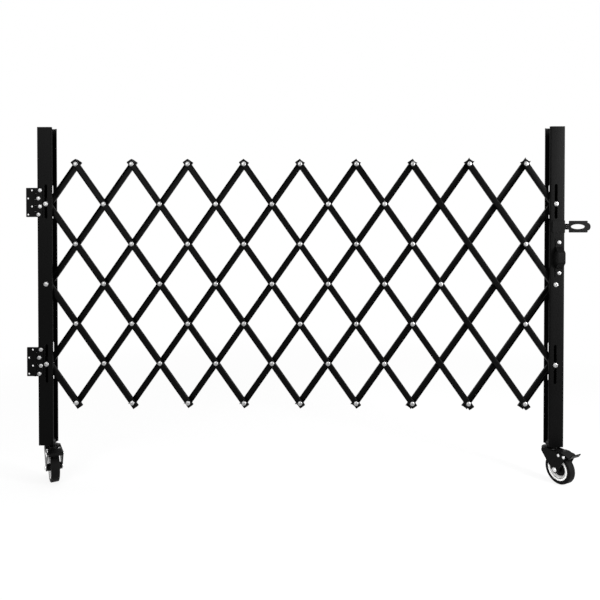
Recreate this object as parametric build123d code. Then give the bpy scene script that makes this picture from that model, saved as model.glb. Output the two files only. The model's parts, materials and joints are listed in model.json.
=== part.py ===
"""Expandable safety barrier: a riveted scissor lattice between two caster posts.

Millimetres, +Z up, floor at Z = 0. X runs along the barrier from the wall hinge to the hasp,
and -Y is the side that shows the rivet heads, the hinges and the pull handle.
The origin lies on the floor in the middle of the barrier's footprint.
"""
from build123d import *
from math import acos, atan2, cos, degrees, pi, radians, sin, sqrt
import os

# Whole barrier
OVERALL_WIDTH = 1800.0
OVERALL_HEIGHT = 1210.0
CASTER_HEIGHT = 116.0
MIDDLE_X = -26.0
MIDDLE_Y = 36.0
RUN_GAP = 0.3
PIN_GAP = 0.15
CUT_OVERRUN = 1.0

# Flats that stand for a full circle on what repeats, to keep the whole model light
HEAD_SIDES = 8
SHANK_SIDES = 6
SCREW_SIDES = 8
ROUND_SIDES = 12
WHEEL_SIDES = 24

# Lattice of crossing channel bars
COLUMNS = 18
ROWS = 7
MIDDLE_ROW = 4
MIDDLE_ROW_Z = 672.0
LINK_PITCH = 168.0
OPEN_ANGLE = 43.0
FOLDED_ANGLE = 84.0
BAR_WIDTH = 20.0
BAR_DEPTH = 12.0
BAR_WALL = 1.5
BAR_BEND = 2.5
BAR_END = 20.0
UNRIVETED_COLUMN = 16

# Rivets
RIVET_RADIUS = 3.0
RIVET_HEAD_RADIUS = 8.0
RIVET_HEAD_HEIGHT = 4.0
RIVET_CROWN_RADIUS = 4.6
RIVET_TAIL_RADIUS = 5.5
RIVET_TAIL_HEIGHT = 2.5
RIVET_TAIL_TOP_RADIUS = 4.0

# Posts, lipped channels that open toward the lattice
POST_WIDTH = 50.0
POST_DEPTH = 50.0
POST_WALL = 2.0
POST_BEND = 2.5
POST_LIP = 8.0
PIVOT_INSET = 30.0
UPPER_SLOT_SPARE = 3.0
LOWER_SLOT_SPARE = 18.0
FOOT_PLATE_THICKNESS = 5.0

# Post bolts
BOLT_RADIUS = 5.0
BOLT_SLOT_GAP = 0.5
BOLT_HEAD_RADIUS = 8.5
BOLT_HEAD_EDGE = 2.2
BOLT_HEAD_CROWN = 2.6
BOLT_SHOULDER_RADIUS = 7.6
BOLT_CROWN_RADIUS = 5.0
NUT_RADIUS = 8.7
NUT_HEIGHT = 6.0

# Wall hinges
HINGE_HEIGHT = 100.0
UPPER_HINGE_Z = 952.0
LOWER_HINGE_Z = 406.0
HINGE_AXIS_OUT = 7.0
HINGE_BARREL_RADIUS = 4.0
HINGE_PIN_RADIUS = 2.0
HINGE_KNUCKLES = 5
LEAF_THICKNESS = 2.5
WALL_LEAF_REACH = 29.4
POST_LEAF_REACH = 26.5
LEAF_HOLE_RADIUS = 3.0
LEAF_HOLE_PITCH = 27.6
LEAF_HOLES = 4
LEAF_NEAR_HOLE = 9.6
LEAF_FAR_HOLE = 22.6
POST_NEAR_SCREW = 13.0
POST_FAR_SCREW = 18.6
SCREW_RADIUS = 2.5
SCREW_HEAD_RADIUS = 7.0
SCREW_HEAD_HEIGHT = 3.5
SCREW_CROWN_RADIUS = 4.2
SCREW_POINT = 3.0

# Hasp
HASP_Z = 869.5
HASP_PLATE_INNER = 43.0
HASP_PLATE_OUTER = 3.0
HASP_PLATE_HEIGHT = 42.0
HASP_PLATE_CORNER = 4.0
HASP_AXIS_OUT = 8.5
HASP_NECK_HEIGHT = 20.0
HASP_MIDDLE_KNUCKLE = 8.0
HASP_STRAP_START = 14.0
HASP_STRAP_END = 89.0
HASP_STRAP_HEIGHT = 40.0
HASP_SLOT_START = 22.0
HASP_SLOT_END = 71.5
HASP_SLOT_HEIGHT = 18.6

# Pull handle
HANDLE_Z = 763.8
HANDLE_INSET = 20.0
HANDLE_WIDTH = 25.0
HANDLE_THICKNESS = 2.5
HANDLE_SCREW_SPACING = 104.0
HANDLE_FOOT_END = 13.0
HANDLE_HUMP_BASE = 72.0
HANDLE_HUMP_TOP = 33.0
HANDLE_HUMP_OUT = 22.0

# Casters
SWIVEL_INSET = 38.0
WHEEL_RADIUS = 50.0
WHEEL_WIDTH = 28.0
TRAIL = 44.0
LEFT_TRAIL_ANGLE = -61.0
RIGHT_TRAIL_ANGLE = -63.0
TYRE_INNER_RADIUS = 38.0
TYRE_CROWN = 4.0
RIM_INNER_RADIUS = 31.0
RIM_WIDTH = 26.0
WEB_THICKNESS = 7.0
HUB_RADIUS = 12.0
HUB_LENGTH = 44.0
AXLE_RADIUS = 4.0
AXLE_HEAD_RADIUS = 9.5
AXLE_HEAD_HEIGHT = 6.0
FORK_THICKNESS = 3.0
FORK_INNER_WIDTH = 46.0
FORK_FOOT_RADIUS = 12.0
FORK_NOSE_RADIUS = 9.0
FORK_HEEL_X = -12.0
FORK_HEEL_RADIUS = 10.0
CROWN_RADIUS = 27.0
CROWN_THICKNESS = 8.0
CROWN_EDGE = 2.5
SHOULDER_RADIUS = 8.0
SHOULDER_HEIGHT = 6.0
STEM_RADIUS = 6.0
STEM_ABOVE_PLATE = 14.0
STEM_NUT_RADIUS = 10.5
STEM_NUT_HEIGHT = 8.0
STEM_FLANGE_RADIUS = 11.0
STEM_FLANGE_THICKNESS = 3.0
BRAKE_PIN_RADIUS = 3.0
BRAKE_PIN_HEAD_RADIUS = 5.0
BRAKE_PIN_HEAD_HEIGHT = 2.5
LOCK_PIN_X = 58.0
LOCK_PIN_Z = 103.0
PEDAL_PIN_X = 78.0
PEDAL_PIN_Z = 103.0
PEDAL_SIDE_GAP = 1.0
PEDAL_THICKNESS = 3.0
PEDAL_HEEL_X = 48.0
PEDAL_HEEL_Z = 112.5
PEDAL_TOP_X = 62.0
PEDAL_TOP_Z = 113.5
PEDAL_DIP_X = 90.0
PEDAL_DIP_Z = 106.5
PEDAL_TIP_X = 106.0
PEDAL_TIP_Z = 116.5
PEDAL_EAR_RADIUS = 6.0
SHOE_TIP_X = 80.0
SHOE_TIP_Z = 90.0
SHOE_TIP_RADIUS = 1.5
SHOE_HEIGHT = 4.0

# Places worked out from the sizes above
POST_FACE = OVERALL_WIDTH / 2
POST_FRONT = -POST_DEPTH / 2
PIVOT_X = POST_FACE - PIVOT_INSET
COLUMN_PITCH = 2 * PIVOT_X / COLUMNS
REST_ANGLE = degrees(acos(COLUMN_PITCH / LINK_PITCH))
ROW_PITCH = sqrt(LINK_PITCH**2 - COLUMN_PITCH**2)
BAR_FRONT = -(BAR_DEPTH + RUN_GAP / 2)
SLOT_RADIUS = BOLT_RADIUS + BOLT_SLOT_GAP
BARREL_BORE = (HINGE_PIN_RADIUS + PIN_GAP) / cos(pi / SCREW_SIDES)
HINGE_AXIS_X = -(POST_FACE + HINGE_AXIS_OUT)
HINGE_AXIS_Y = POST_FRONT - LEAF_THICKNESS
POST_HEIGHT = OVERALL_HEIGHT - CASTER_HEIGHT
CROWN_TOP = CASTER_HEIGHT - SHOULDER_HEIGHT - RUN_GAP
CROWN_BOTTOM = CROWN_TOP - CROWN_THICKNESS
FORK_HALF = FORK_INNER_WIDTH / 2
PEDAL_WIDTH = FORK_INNER_WIDTH - 2 * PEDAL_SIDE_GAP
SET_OUT = Pos(MIDDLE_X, MIDDLE_Y)


def save(node, *solids):
    """Write one piece, or one group of like pieces, as its own file."""
    placed = [SET_OUT * solid for solid in solids]
    shape = placed[0] if len(placed) == 1 else Compound(children=placed)
    export_step(shape, os.path.join("parts", f"{node}.step"))


def prism(sides, radius, length):
    """A straight column along +Z; sides of None gives a true cylinder."""
    outline = RegularPolygon(radius, sides) if sides else Circle(radius)
    return extrude(outline, length)


def fitted(radius, sides):
    """The corner radius of a few-sided hole that a pin of the given radius turns in."""
    return (radius + PIN_GAP) / cos(pi / sides)


def frustum(sides, low_radius, high_radius, height):
    """A column of flats along +Z that narrows upward."""
    inset = (low_radius - high_radius) * cos(pi / sides)
    return extrude(RegularPolygon(low_radius, sides), height, taper=degrees(atan2(inset, height)))


def facing_front(shape):
    """Turn a shape built along +Z so that it points at the viewer, along -Y."""
    return Rotation(90, 0, 0) * shape


def across(shape, y):
    """Lay a shape built along +Z along +Y, from the given Y."""
    return Pos(0, y, 0) * Rotation(-90, 0, 0) * shape


def mirrored(shape):
    """The same piece on the other end of the barrier."""
    return mirror(shape, about=Plane.YZ)


# Lattice


def crossing(column, row):
    """Where two bars cross, on the lattice's middle plane."""
    x = (column - COLUMNS / 2) * COLUMN_PITCH
    z = MIDDLE_ROW_Z + (MIDDLE_ROW - row) * ROW_PITCH
    return Pos(x, 0, z)


def rising_crossings(diagonal):
    """Crossings of one rising bar, whose column and row add up to the diagonal."""
    first = max(0, diagonal - ROWS)
    last = min(COLUMNS, diagonal - 1)
    return [(column, diagonal - column) for column in range(first, last + 1)]


def falling_crossings(diagonal):
    """Crossings of one falling bar, whose column less its row is the diagonal."""
    first = max(0, diagonal + 1)
    last = min(COLUMNS, diagonal + ROWS)
    return [(column, column - diagonal) for column in range(first, last + 1)]


def channel(length):
    """An open U bar along +X with its web to the front and its mouth at Y = -RUN_GAP / 2."""
    outside = Rectangle(BAR_DEPTH, BAR_WIDTH)
    outside = chamfer(outside.vertices().group_by(Axis.X)[0], BAR_BEND)
    hollow = Pos(BAR_WALL, 0) * Rectangle(BAR_DEPTH, BAR_WIDTH - 2 * BAR_WALL)
    section = Pos(-BAR_DEPTH / 2 - RUN_GAP / 2, 0) * (outside - hollow)
    upright = Plane(origin=(-BAR_END, 0, 0), x_dir=(0, 1, 0), z_dir=(1, 0, 0))
    return extrude(upright * section, length + 2 * BAR_END)


def pin_hole(place, seated):
    """The hole a pin needs in a bar's web; a seated pin is held tight, any other turns."""
    at_post = place[0] in (0, COLUMNS)
    radius = BOLT_RADIUS if at_post else RIVET_RADIUS
    sides = SCREW_SIDES if at_post else SHANK_SIDES
    return prism(sides, radius if seated else fitted(radius, sides), BAR_DEPTH)


def bar(crossings, falling):
    """One lattice bar along +X, drilled at each of its crossings."""
    shape = channel((len(crossings) - 1) * LINK_PITCH)
    drills = []
    for step, place in enumerate(crossings):
        if place[0] == UNRIVETED_COLUMN:
            continue
        fixed_bolt = place[0] in (0, COLUMNS) and place[1] == MIDDLE_ROW
        drill = pin_hole(place, falling and not fixed_bolt)
        drills.append(Pos(step * LINK_PITCH, 0, 0) * across(drill, BAR_FRONT - CUT_OVERRUN))
    shape = shape - drills
    return shape if falling else Rotation(0, 0, 180) * mirror(shape, about=Plane.YZ)


def laid(shape, start, angle):
    """Put a bar, or what rides on it, at its first crossing and slope."""
    return crossing(*start) * Rotation(0, angle, 0) * shape


def rivet():
    """A rivet with its shank along -Y: domed head in front, formed tail behind."""
    grip = 2 * BAR_DEPTH + RUN_GAP
    head = frustum(HEAD_SIDES, RIVET_HEAD_RADIUS, RIVET_CROWN_RADIUS, RIVET_HEAD_HEIGHT)
    shank = Pos(0, 0, -grip - RUN_GAP) * prism(SHANK_SIDES, RIVET_RADIUS, grip + RUN_GAP)
    tail = frustum(SHANK_SIDES, RIVET_TAIL_RADIUS, RIVET_TAIL_TOP_RADIUS, RIVET_TAIL_HEIGHT)
    whole = head + shank + Pos(0, 0, -grip - RUN_GAP) * mirror(tail, about=Plane.XY)
    return Pos(0, BAR_FRONT, 0) * facing_front(whole)


def post_bolt():
    """A bolt right through a post, with its nut behind."""
    grip = POST_DEPTH + 2 * RUN_GAP
    head = frustum(HEAD_SIDES, BOLT_HEAD_RADIUS, BOLT_SHOULDER_RADIUS, BOLT_HEAD_EDGE)
    head += Pos(0, 0, BOLT_HEAD_EDGE) * frustum(
        HEAD_SIDES, BOLT_SHOULDER_RADIUS, BOLT_CROWN_RADIUS, BOLT_HEAD_CROWN
    )
    shank = Pos(0, 0, -grip) * prism(SCREW_SIDES, BOLT_RADIUS, grip)
    nut = Pos(0, 0, -grip - NUT_HEIGHT) * prism(SHANK_SIDES, NUT_RADIUS, NUT_HEIGHT)
    return Pos(0, POST_FRONT - RUN_GAP, 0) * facing_front(head + shank + nut)


def riders(crossings):
    """The rivets and sliding bolts that one falling bar carries."""
    found = []
    for step, (column, row) in enumerate(crossings):
        at_post = column in (0, COLUMNS)
        if column == UNRIVETED_COLUMN or (at_post and row == MIDDLE_ROW):
            continue
        fastener = post_bolt() if at_post else rivet()
        found.append(Pos(step * LINK_PITCH, 0, 0) * fastener)
    return found


def save_lattice():
    """All bars and what rides on them; the falling layer is in front."""
    for number in range(1, (COLUMNS + ROWS - 1) // 2 + 1):
        places = rising_crossings(2 * number)
        save(f"rising_bar_{number:02d}", laid(bar(places, False), places[0], -REST_ANGLE))
        places = falling_crossings(2 * number - ROWS - 1)
        save(f"falling_bar_{number:02d}", laid(bar(places, True), places[0], REST_ANGLE))
        placed = [laid(rider, places[0], REST_ANGLE) for rider in riders(places)]
        save(f"rivets_{number:02d}", *placed)


# Posts


def slot_cut(low, high):
    """A vertical slot through both flanges, between two travels of the bolt's centre."""
    end = RegularPolygon(SLOT_RADIUS / cos(pi / ROUND_SIDES), ROUND_SIDES)
    outline = make_hull((Pos(0, low) * end + Pos(0, high) * end).edges())
    return extrude(Plane.XZ * outline, POST_DEPTH, both=True)


def travel(angle):
    """How far the outer rows stand from the middle row at one lattice angle."""
    return 2 * LINK_PITCH * sin(radians(angle))


def post():
    """The left post: a lipped channel with its foot plate welded in."""
    outside = Rectangle(POST_WIDTH, POST_DEPTH)
    outside = chamfer(outside.vertices(), POST_BEND)
    hollow = Rectangle(POST_WIDTH - 2 * POST_WALL, POST_DEPTH - 2 * POST_WALL)
    mouth = Pos(POST_WIDTH / 2, 0) * Rectangle(POST_WIDTH, POST_DEPTH - 2 * POST_LIP)
    middle = Pos(POST_WIDTH / 2 - POST_FACE, 0, CASTER_HEIGHT)
    shape = middle * extrude(outside - hollow - mouth, POST_HEIGHT)
    plate = middle * extrude(hollow, FOOT_PLATE_THICKNESS)
    shape = shape + plate
    pivot = Pos(-PIVOT_X, 0, MIDDLE_ROW_Z)
    low, high = travel(OPEN_ANGLE), travel(FOLDED_ANGLE)
    shape -= pivot * slot_cut(low, high + UPPER_SLOT_SPARE)
    shape -= pivot * slot_cut(-high, LOWER_SLOT_SPARE - low)
    bolt_hole = across(prism(SCREW_SIDES, BOLT_RADIUS, 2 * POST_DEPTH), -POST_DEPTH)
    shape -= pivot * bolt_hole
    stem_hole = prism(SCREW_SIDES, STEM_RADIUS, FOOT_PLATE_THICKNESS + 2 * CUT_OVERRUN)
    return shape - Pos(SWIVEL_INSET - POST_FACE, 0, CASTER_HEIGHT - CUT_OVERRUN) * stem_hole


def fixed_bolt(side):
    """The middle-row bolt, which is tight in its post."""
    return Pos(side * PIVOT_X, 0, MIDDLE_ROW_Z) * post_bolt()


# Wall hinges


def leaf_rows(centre_z):
    """Heights of the four fixing holes of a hinge, from the top down."""
    top = centre_z + (LEAF_HOLES - 1) / 2 * LEAF_HOLE_PITCH
    return [top - step * LEAF_HOLE_PITCH for step in range(LEAF_HOLES)]


def knuckle(low, high, radius, bore):
    """A length of hinge barrel on the Z axis between two heights."""
    ring = RegularPolygon(radius, SCREW_SIDES) - RegularPolygon(bore, SCREW_SIDES)
    return Pos(0, 0, low) * extrude(ring, high - low)


def leaf(side, reach, first):
    """One leaf on its barrel axis: side -1 reaches to the wall, +1 onto the post."""
    span = HINGE_HEIGHT / HINGE_KNUCKLES
    clear = HINGE_BARREL_RADIUS + RUN_GAP
    plate = Pos(side * (clear + reach) / 2, LEAF_THICKNESS / 2, 0) * Box(
        reach - clear, LEAF_THICKNESS, HINGE_HEIGHT
    )
    for index in range(first, HINGE_KNUCKLES, 2):
        low = index * span - HINGE_HEIGHT / 2 + RUN_GAP / 2
        high = low + span - RUN_GAP
        tab = Pos(side * clear / 2, LEAF_THICKNESS / 2, (low + high) / 2) * Box(
            clear, LEAF_THICKNESS, high - low
        )
        plate = plate + tab + knuckle(low, high, HINGE_BARREL_RADIUS, BARREL_BORE)
        drill = prism(SCREW_SIDES, BARREL_BORE, high - low)
        plate = plate - Pos(0, 0, low) * drill
    return plate


def hinge_place(centre_z):
    """The middle of one hinge's barrel."""
    return Pos(HINGE_AXIS_X, HINGE_AXIS_Y, centre_z)


def wall_leaf(centre_z):
    """The leaf that is screwed to the wall, with its four staggered holes."""
    shape = hinge_place(centre_z) * leaf(-1, WALL_LEAF_REACH, 0)
    for index, z in enumerate(leaf_rows(centre_z)):
        out = LEAF_NEAR_HOLE if index % 2 == 0 else LEAF_FAR_HOLE
        drill = across(prism(None, LEAF_HOLE_RADIUS, POST_DEPTH), -POST_DEPTH)
        shape -= Pos(HINGE_AXIS_X - out, 0, z) * drill
    return shape


def screw_places():
    """X and Z of the hinge screws in the left post."""
    found = []
    for centre_z in (UPPER_HINGE_Z, LOWER_HINGE_Z):
        for index, z in enumerate(leaf_rows(centre_z)):
            out = POST_FAR_SCREW if index % 2 == 0 else POST_NEAR_SCREW
            found.append((HINGE_AXIS_X + out, z))
    return found


def screw_drill(length):
    """The screw's own core, for its hole and its shank alike."""
    return prism(SCREW_SIDES, SCREW_RADIUS, length)


def drilled_for_screws(shape, places):
    """Cut the screws' holes through a leaf, a strap or a post's front wall."""
    reach = POST_DEPTH / 2
    for x, z in places:
        shape -= Pos(x, 0, z) * across(screw_drill(reach), POST_FRONT - reach / 2)
    return shape


def post_leaf(centre_z):
    """The leaf that is screwed to the post's front."""
    shape = hinge_place(centre_z) * leaf(1, POST_LEAF_REACH, 1)
    near = [place for place in screw_places() if abs(place[1] - centre_z) < HINGE_HEIGHT / 2]
    return drilled_for_screws(shape, near)


def screw(under_head):
    """A round-head screw whose head seats on a surface at the given Y."""
    length = POST_FRONT + POST_WALL + SCREW_POINT - under_head
    head = frustum(HEAD_SIDES, SCREW_HEAD_RADIUS, SCREW_CROWN_RADIUS, SCREW_HEAD_HEIGHT)
    return Pos(0, under_head, 0) * facing_front(head + Pos(0, 0, -length) * screw_drill(length))


def hinge_pin(centre_z):
    """A plain pin through all knuckles of one hinge."""
    return hinge_place(centre_z - HINGE_HEIGHT / 2) * prism(None, HINGE_PIN_RADIUS, HINGE_HEIGHT)


def save_hinges():
    """Both hinges with their pins."""
    save("upper_wall_leaf", wall_leaf(UPPER_HINGE_Z))
    save("lower_wall_leaf", wall_leaf(LOWER_HINGE_Z))
    save("upper_post_leaf", post_leaf(UPPER_HINGE_Z))
    save("lower_post_leaf", post_leaf(LOWER_HINGE_Z))
    save("hinge_pins", hinge_pin(UPPER_HINGE_Z), hinge_pin(LOWER_HINGE_Z))


# Hasp


def hasp_axis():
    """The hasp's barrel, at the front outer edge of the right post."""
    return Pos(POST_FACE + HASP_AXIS_OUT, POST_FRONT - LEAF_THICKNESS, HASP_Z)


def hasp_plate():
    """The welded plate with the two outer knuckles and, as its own solid, the pin."""
    width = HASP_PLATE_INNER + HASP_PLATE_OUTER
    outline = Rectangle(width, HASP_PLATE_HEIGHT)
    outline = chamfer(outline.vertices(), HASP_PLATE_CORNER)
    plate = Pos(POST_FACE + HASP_PLATE_OUTER - width / 2, POST_FRONT, HASP_Z) * facing_front(
        extrude(outline, LEAF_THICKNESS)
    )
    inner, outer = HASP_MIDDLE_KNUCKLE / 2, HASP_NECK_HEIGHT / 2
    for low, high in ((-outer, -inner), (inner, outer)):
        reach = HASP_AXIS_OUT - HASP_PLATE_OUTER + HASP_PLATE_CORNER
        tab = Pos(-reach / 2, LEAF_THICKNESS / 2, (low + high) / 2) * Box(
            reach, LEAF_THICKNESS, high - low
        )
        ring = knuckle(low, high, HINGE_BARREL_RADIUS, BARREL_BORE)
        bore = Pos(0, 0, low) * prism(SCREW_SIDES, BARREL_BORE, high - low)
        plate = plate + hasp_axis() * (tab + ring - bore)
    pin = Pos(0, 0, -outer) * prism(None, HINGE_PIN_RADIUS, HASP_NECK_HEIGHT)
    return plate, hasp_axis() * pin


def hasp_strap():
    """The swinging strap with its long padlock slot and rounded tip."""
    length = HASP_STRAP_END - HASP_STRAP_START
    radius = HASP_STRAP_HEIGHT / 2
    body = Pos((length - radius) / 2, 0) * Rectangle(length - radius, HASP_STRAP_HEIGHT)
    outline = body + Pos(length - radius, 0) * RegularPolygon(radius, ROUND_SIDES)
    slot_end = RegularPolygon(HASP_SLOT_HEIGHT / 2, ROUND_SIDES)
    ends = [x - HASP_STRAP_START for x in (HASP_SLOT_START, HASP_SLOT_END)]
    reach = (HASP_SLOT_HEIGHT / 2, -HASP_SLOT_HEIGHT / 2)
    slot = [Pos(end + inward, 0) * slot_end for end, inward in zip(ends, reach)]
    outline = outline - make_hull((slot[0] + slot[1]).edges())
    plate = Pos(POST_FACE + HASP_STRAP_START, POST_FRONT, HASP_Z) * facing_front(
        extrude(outline, LEAF_THICKNESS)
    )
    half = HASP_MIDDLE_KNUCKLE / 2 - RUN_GAP
    reach = HASP_STRAP_START - HASP_AXIS_OUT
    tab = Pos(reach / 2, LEAF_THICKNESS / 2, 0) * Box(reach, LEAF_THICKNESS, 2 * half)
    ring = knuckle(-half, half, HINGE_BARREL_RADIUS, BARREL_BORE)
    bore = Pos(0, 0, -half) * prism(SCREW_SIDES, BARREL_BORE, 2 * half)
    return plate + hasp_axis() * (tab + ring - bore)


# Pull handle


def handle_screws():
    """X and Z of the two handle screws."""
    x = POST_FACE - HANDLE_INSET
    return [(x, HANDLE_Z + side * HANDLE_SCREW_SPACING / 2) for side in (-1, 1)]


def pull_handle():
    """A flat strap bent into a hump, with a foot at each end."""
    foot = HANDLE_SCREW_SPACING / 2 + HANDLE_FOOT_END
    base, top = HANDLE_HUMP_BASE / 2, HANDLE_HUMP_TOP / 2
    line = Polyline(
        (0, -foot), (0, -base), (-HANDLE_HUMP_OUT, -top),
        (-HANDLE_HUMP_OUT, top), (0, base), (0, foot),
    )
    section = offset(line, HANDLE_THICKNESS, side=Side.LEFT, kind=Kind.INTERSECTION)
    face = make_face(section.edges())
    strap = extrude(Plane.YZ * face, HANDLE_WIDTH / 2, both=True)
    box = strap.bounding_box()
    seated = Pos(POST_FACE - HANDLE_INSET, POST_FRONT - box.max.Y, HANDLE_Z) * strap
    return drilled_for_screws(seated, handle_screws())


# Casters


def caster_stem():
    """The threaded stem with its shoulder, and the nut above the foot plate."""
    top = CASTER_HEIGHT + FOOT_PLATE_THICKNESS
    flange_top = CROWN_BOTTOM - RUN_GAP
    flange = Pos(0, 0, flange_top - STEM_FLANGE_THICKNESS) * prism(
        ROUND_SIDES, STEM_FLANGE_RADIUS, STEM_FLANGE_THICKNESS
    )
    shoulder_bottom = CASTER_HEIGHT - SHOULDER_HEIGHT
    neck = Pos(0, 0, flange_top) * prism(None, STEM_RADIUS, shoulder_bottom - flange_top)
    shoulder = Pos(0, 0, shoulder_bottom) * prism(ROUND_SIDES, SHOULDER_RADIUS, SHOULDER_HEIGHT)
    thread_length = FOOT_PLATE_THICKNESS + STEM_ABOVE_PLATE
    thread = Pos(0, 0, CASTER_HEIGHT) * prism(SCREW_SIDES, STEM_RADIUS, thread_length)
    nut = RegularPolygon(STEM_NUT_RADIUS, SHANK_SIDES)
    nut -= RegularPolygon(STEM_RADIUS, SCREW_SIDES)
    return flange + neck + shoulder + thread, Pos(0, 0, top) * extrude(nut, STEM_NUT_HEIGHT)


def fork_leg():
    """The outline of one fork leg, seen along the axle."""
    corners = (
        Pos(TRAIL, WHEEL_RADIUS) * RegularPolygon(FORK_FOOT_RADIUS, ROUND_SIDES)
        + Pos(PEDAL_PIN_X, PEDAL_PIN_Z) * RegularPolygon(FORK_NOSE_RADIUS, ROUND_SIDES)
        + Pos(FORK_HEEL_X, CROWN_TOP - FORK_HEEL_RADIUS) * RegularPolygon(FORK_HEEL_RADIUS, ROUND_SIDES)
    )
    outline = make_hull(corners.edges())
    leg = across(Pos(0, 0, 0) * extrude(mirror(outline, about=Plane.XZ), FORK_THICKNESS), 0)
    for x, z, radius in (
        (TRAIL, WHEEL_RADIUS, AXLE_RADIUS),
        (LOCK_PIN_X, LOCK_PIN_Z, BRAKE_PIN_RADIUS),
        (PEDAL_PIN_X, PEDAL_PIN_Z, BRAKE_PIN_RADIUS),
    ):
        drill = prism(
            SCREW_SIDES, radius / cos(pi / SCREW_SIDES), FORK_THICKNESS + 2 * CUT_OVERRUN
        )
        leg -= Pos(x, 0, z) * across(drill, -CUT_OVERRUN)
    return leg


def caster_fork():
    """The pressed fork: two legs under a round crown."""
    crown = prism(ROUND_SIDES, CROWN_RADIUS, CROWN_THICKNESS)
    crown = chamfer(crown.edges().group_by(Axis.Z)[-1], CROWN_EDGE)
    hole = prism(ROUND_SIDES, fitted(STEM_RADIUS, ROUND_SIDES), CROWN_THICKNESS + 2 * CUT_OVERRUN)
    crown = Pos(0, 0, CROWN_BOTTOM) * (crown - Pos(0, 0, -CUT_OVERRUN) * hole)
    leg = fork_leg()
    far = Pos(0, FORK_HALF, 0) * leg
    near = Pos(0, -FORK_HALF - FORK_THICKNESS, 0) * leg
    return crown + far + near


def through_pin(x, z, radius, head_radius, head_height, sides=SCREW_SIDES):
    """A pin across the fork with a head outside each leg; sides of None makes it truly round."""
    width = FORK_INNER_WIDTH + 2 * FORK_THICKNESS
    head = prism(HEAD_SIDES, head_radius, head_height)
    shank = across(prism(sides, radius, width), -width / 2)
    heads = across(head, width / 2) + across(head, -width / 2 - head_height)
    return Pos(x, 0, z) * (shank + heads)


def caster_bolts():
    """The axle bolt and the two brake pins."""
    return (
        through_pin(TRAIL, WHEEL_RADIUS, AXLE_RADIUS, AXLE_HEAD_RADIUS, AXLE_HEAD_HEIGHT, None),
        through_pin(
            LOCK_PIN_X, LOCK_PIN_Z, BRAKE_PIN_RADIUS, BRAKE_PIN_HEAD_RADIUS, BRAKE_PIN_HEAD_HEIGHT
        ),
        through_pin(
            PEDAL_PIN_X, PEDAL_PIN_Z, BRAKE_PIN_RADIUS, BRAKE_PIN_HEAD_RADIUS,
            BRAKE_PIN_HEAD_HEIGHT, None,
        ),
    )


def wheel_ring(inner, outer, width, edge=0.0):
    """A ring of flats about the axle, with its outer edges cut back by the given amount."""
    half = prism(WHEEL_SIDES, outer, width / 2 - edge)
    if edge:
        half += Pos(0, 0, width / 2 - edge) * frustum(WHEEL_SIDES, outer, outer - edge, edge)
    ring = half + mirror(half, about=Plane.XY)
    drill = prism(WHEEL_SIDES, inner, width + 2 * CUT_OVERRUN)
    return ring - Pos(0, 0, -width / 2 - CUT_OVERRUN) * drill


def on_axle(shape):
    """Put a wheel piece built about the Z axis on the axle."""
    return Pos(TRAIL, 0, WHEEL_RADIUS) * facing_front(shape)


def wheel_core():
    """Hub, web and rim in one moulding."""
    hub = prism(ROUND_SIDES, HUB_RADIUS, HUB_LENGTH)
    shape = Pos(0, 0, -HUB_LENGTH / 2) * hub
    web = prism(WHEEL_SIDES, RIM_INNER_RADIUS + CUT_OVERRUN, WEB_THICKNESS)
    shape += Pos(0, 0, -WEB_THICKNESS / 2) * web
    shape += wheel_ring(RIM_INNER_RADIUS, TYRE_INNER_RADIUS, RIM_WIDTH)
    bore = prism(SCREW_SIDES, fitted(AXLE_RADIUS, SCREW_SIDES), HUB_LENGTH + 2 * CUT_OVERRUN)
    return on_axle(shape - Pos(0, 0, -HUB_LENGTH / 2 - CUT_OVERRUN) * bore)


def wheel_tyre():
    """The rubber tread ring with its cut-back shoulders."""
    return on_axle(wheel_ring(TYRE_INNER_RADIUS, WHEEL_RADIUS, WHEEL_WIDTH, TYRE_CROWN))


def brake_pedal():
    """The foot lever: a bent plate on two cheeks that hold the pin, and the shoe under it."""
    line = Polyline(
        (PEDAL_HEEL_X, PEDAL_HEEL_Z), (PEDAL_TOP_X, PEDAL_TOP_Z),
        (PEDAL_DIP_X, PEDAL_DIP_Z), (PEDAL_TIP_X, PEDAL_TIP_Z),
    )
    section = offset(line, PEDAL_THICKNESS, side=Side.RIGHT, kind=Kind.INTERSECTION)
    half = PEDAL_WIDTH / 2
    plate = extrude(Plane.XZ * make_face(section.edges()), half, both=True)
    under = Polyline(
        (PEDAL_TOP_X, PEDAL_TOP_Z - PEDAL_THICKNESS / 2),
        (PEDAL_DIP_X, PEDAL_DIP_Z - PEDAL_THICKNESS / 2),
    )
    ear_end = Pos(PEDAL_PIN_X, PEDAL_PIN_Z) * RegularPolygon(PEDAL_EAR_RADIUS, SCREW_SIDES)
    shoe_end = RegularPolygon(SHOE_TIP_RADIUS, SCREW_SIDES)
    shoe_tip = Pos(SHOE_TIP_X, SHOE_TIP_Z) * shoe_end
    shoe_root = Pos(SHOE_TIP_X, SHOE_TIP_Z + SHOE_HEIGHT) * shoe_end
    cheek = Plane.XZ * make_hull([*under.edges(), *ear_end.edges(), *shoe_tip.edges()])
    cheeks = extrude(cheek, half, both=True)
    cheeks -= extrude(cheek, half - PEDAL_THICKNESS, both=True)
    bar = Plane.XZ * make_hull([*shoe_tip.edges(), *shoe_root.edges()])
    shape = plate + cheeks + extrude(bar, half, both=True)
    bore = prism(SCREW_SIDES, fitted(BRAKE_PIN_RADIUS, SCREW_SIDES), 2 * PEDAL_WIDTH)
    return shape - Pos(PEDAL_PIN_X, 0, PEDAL_PIN_Z) * across(bore, -PEDAL_WIDTH)


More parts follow.
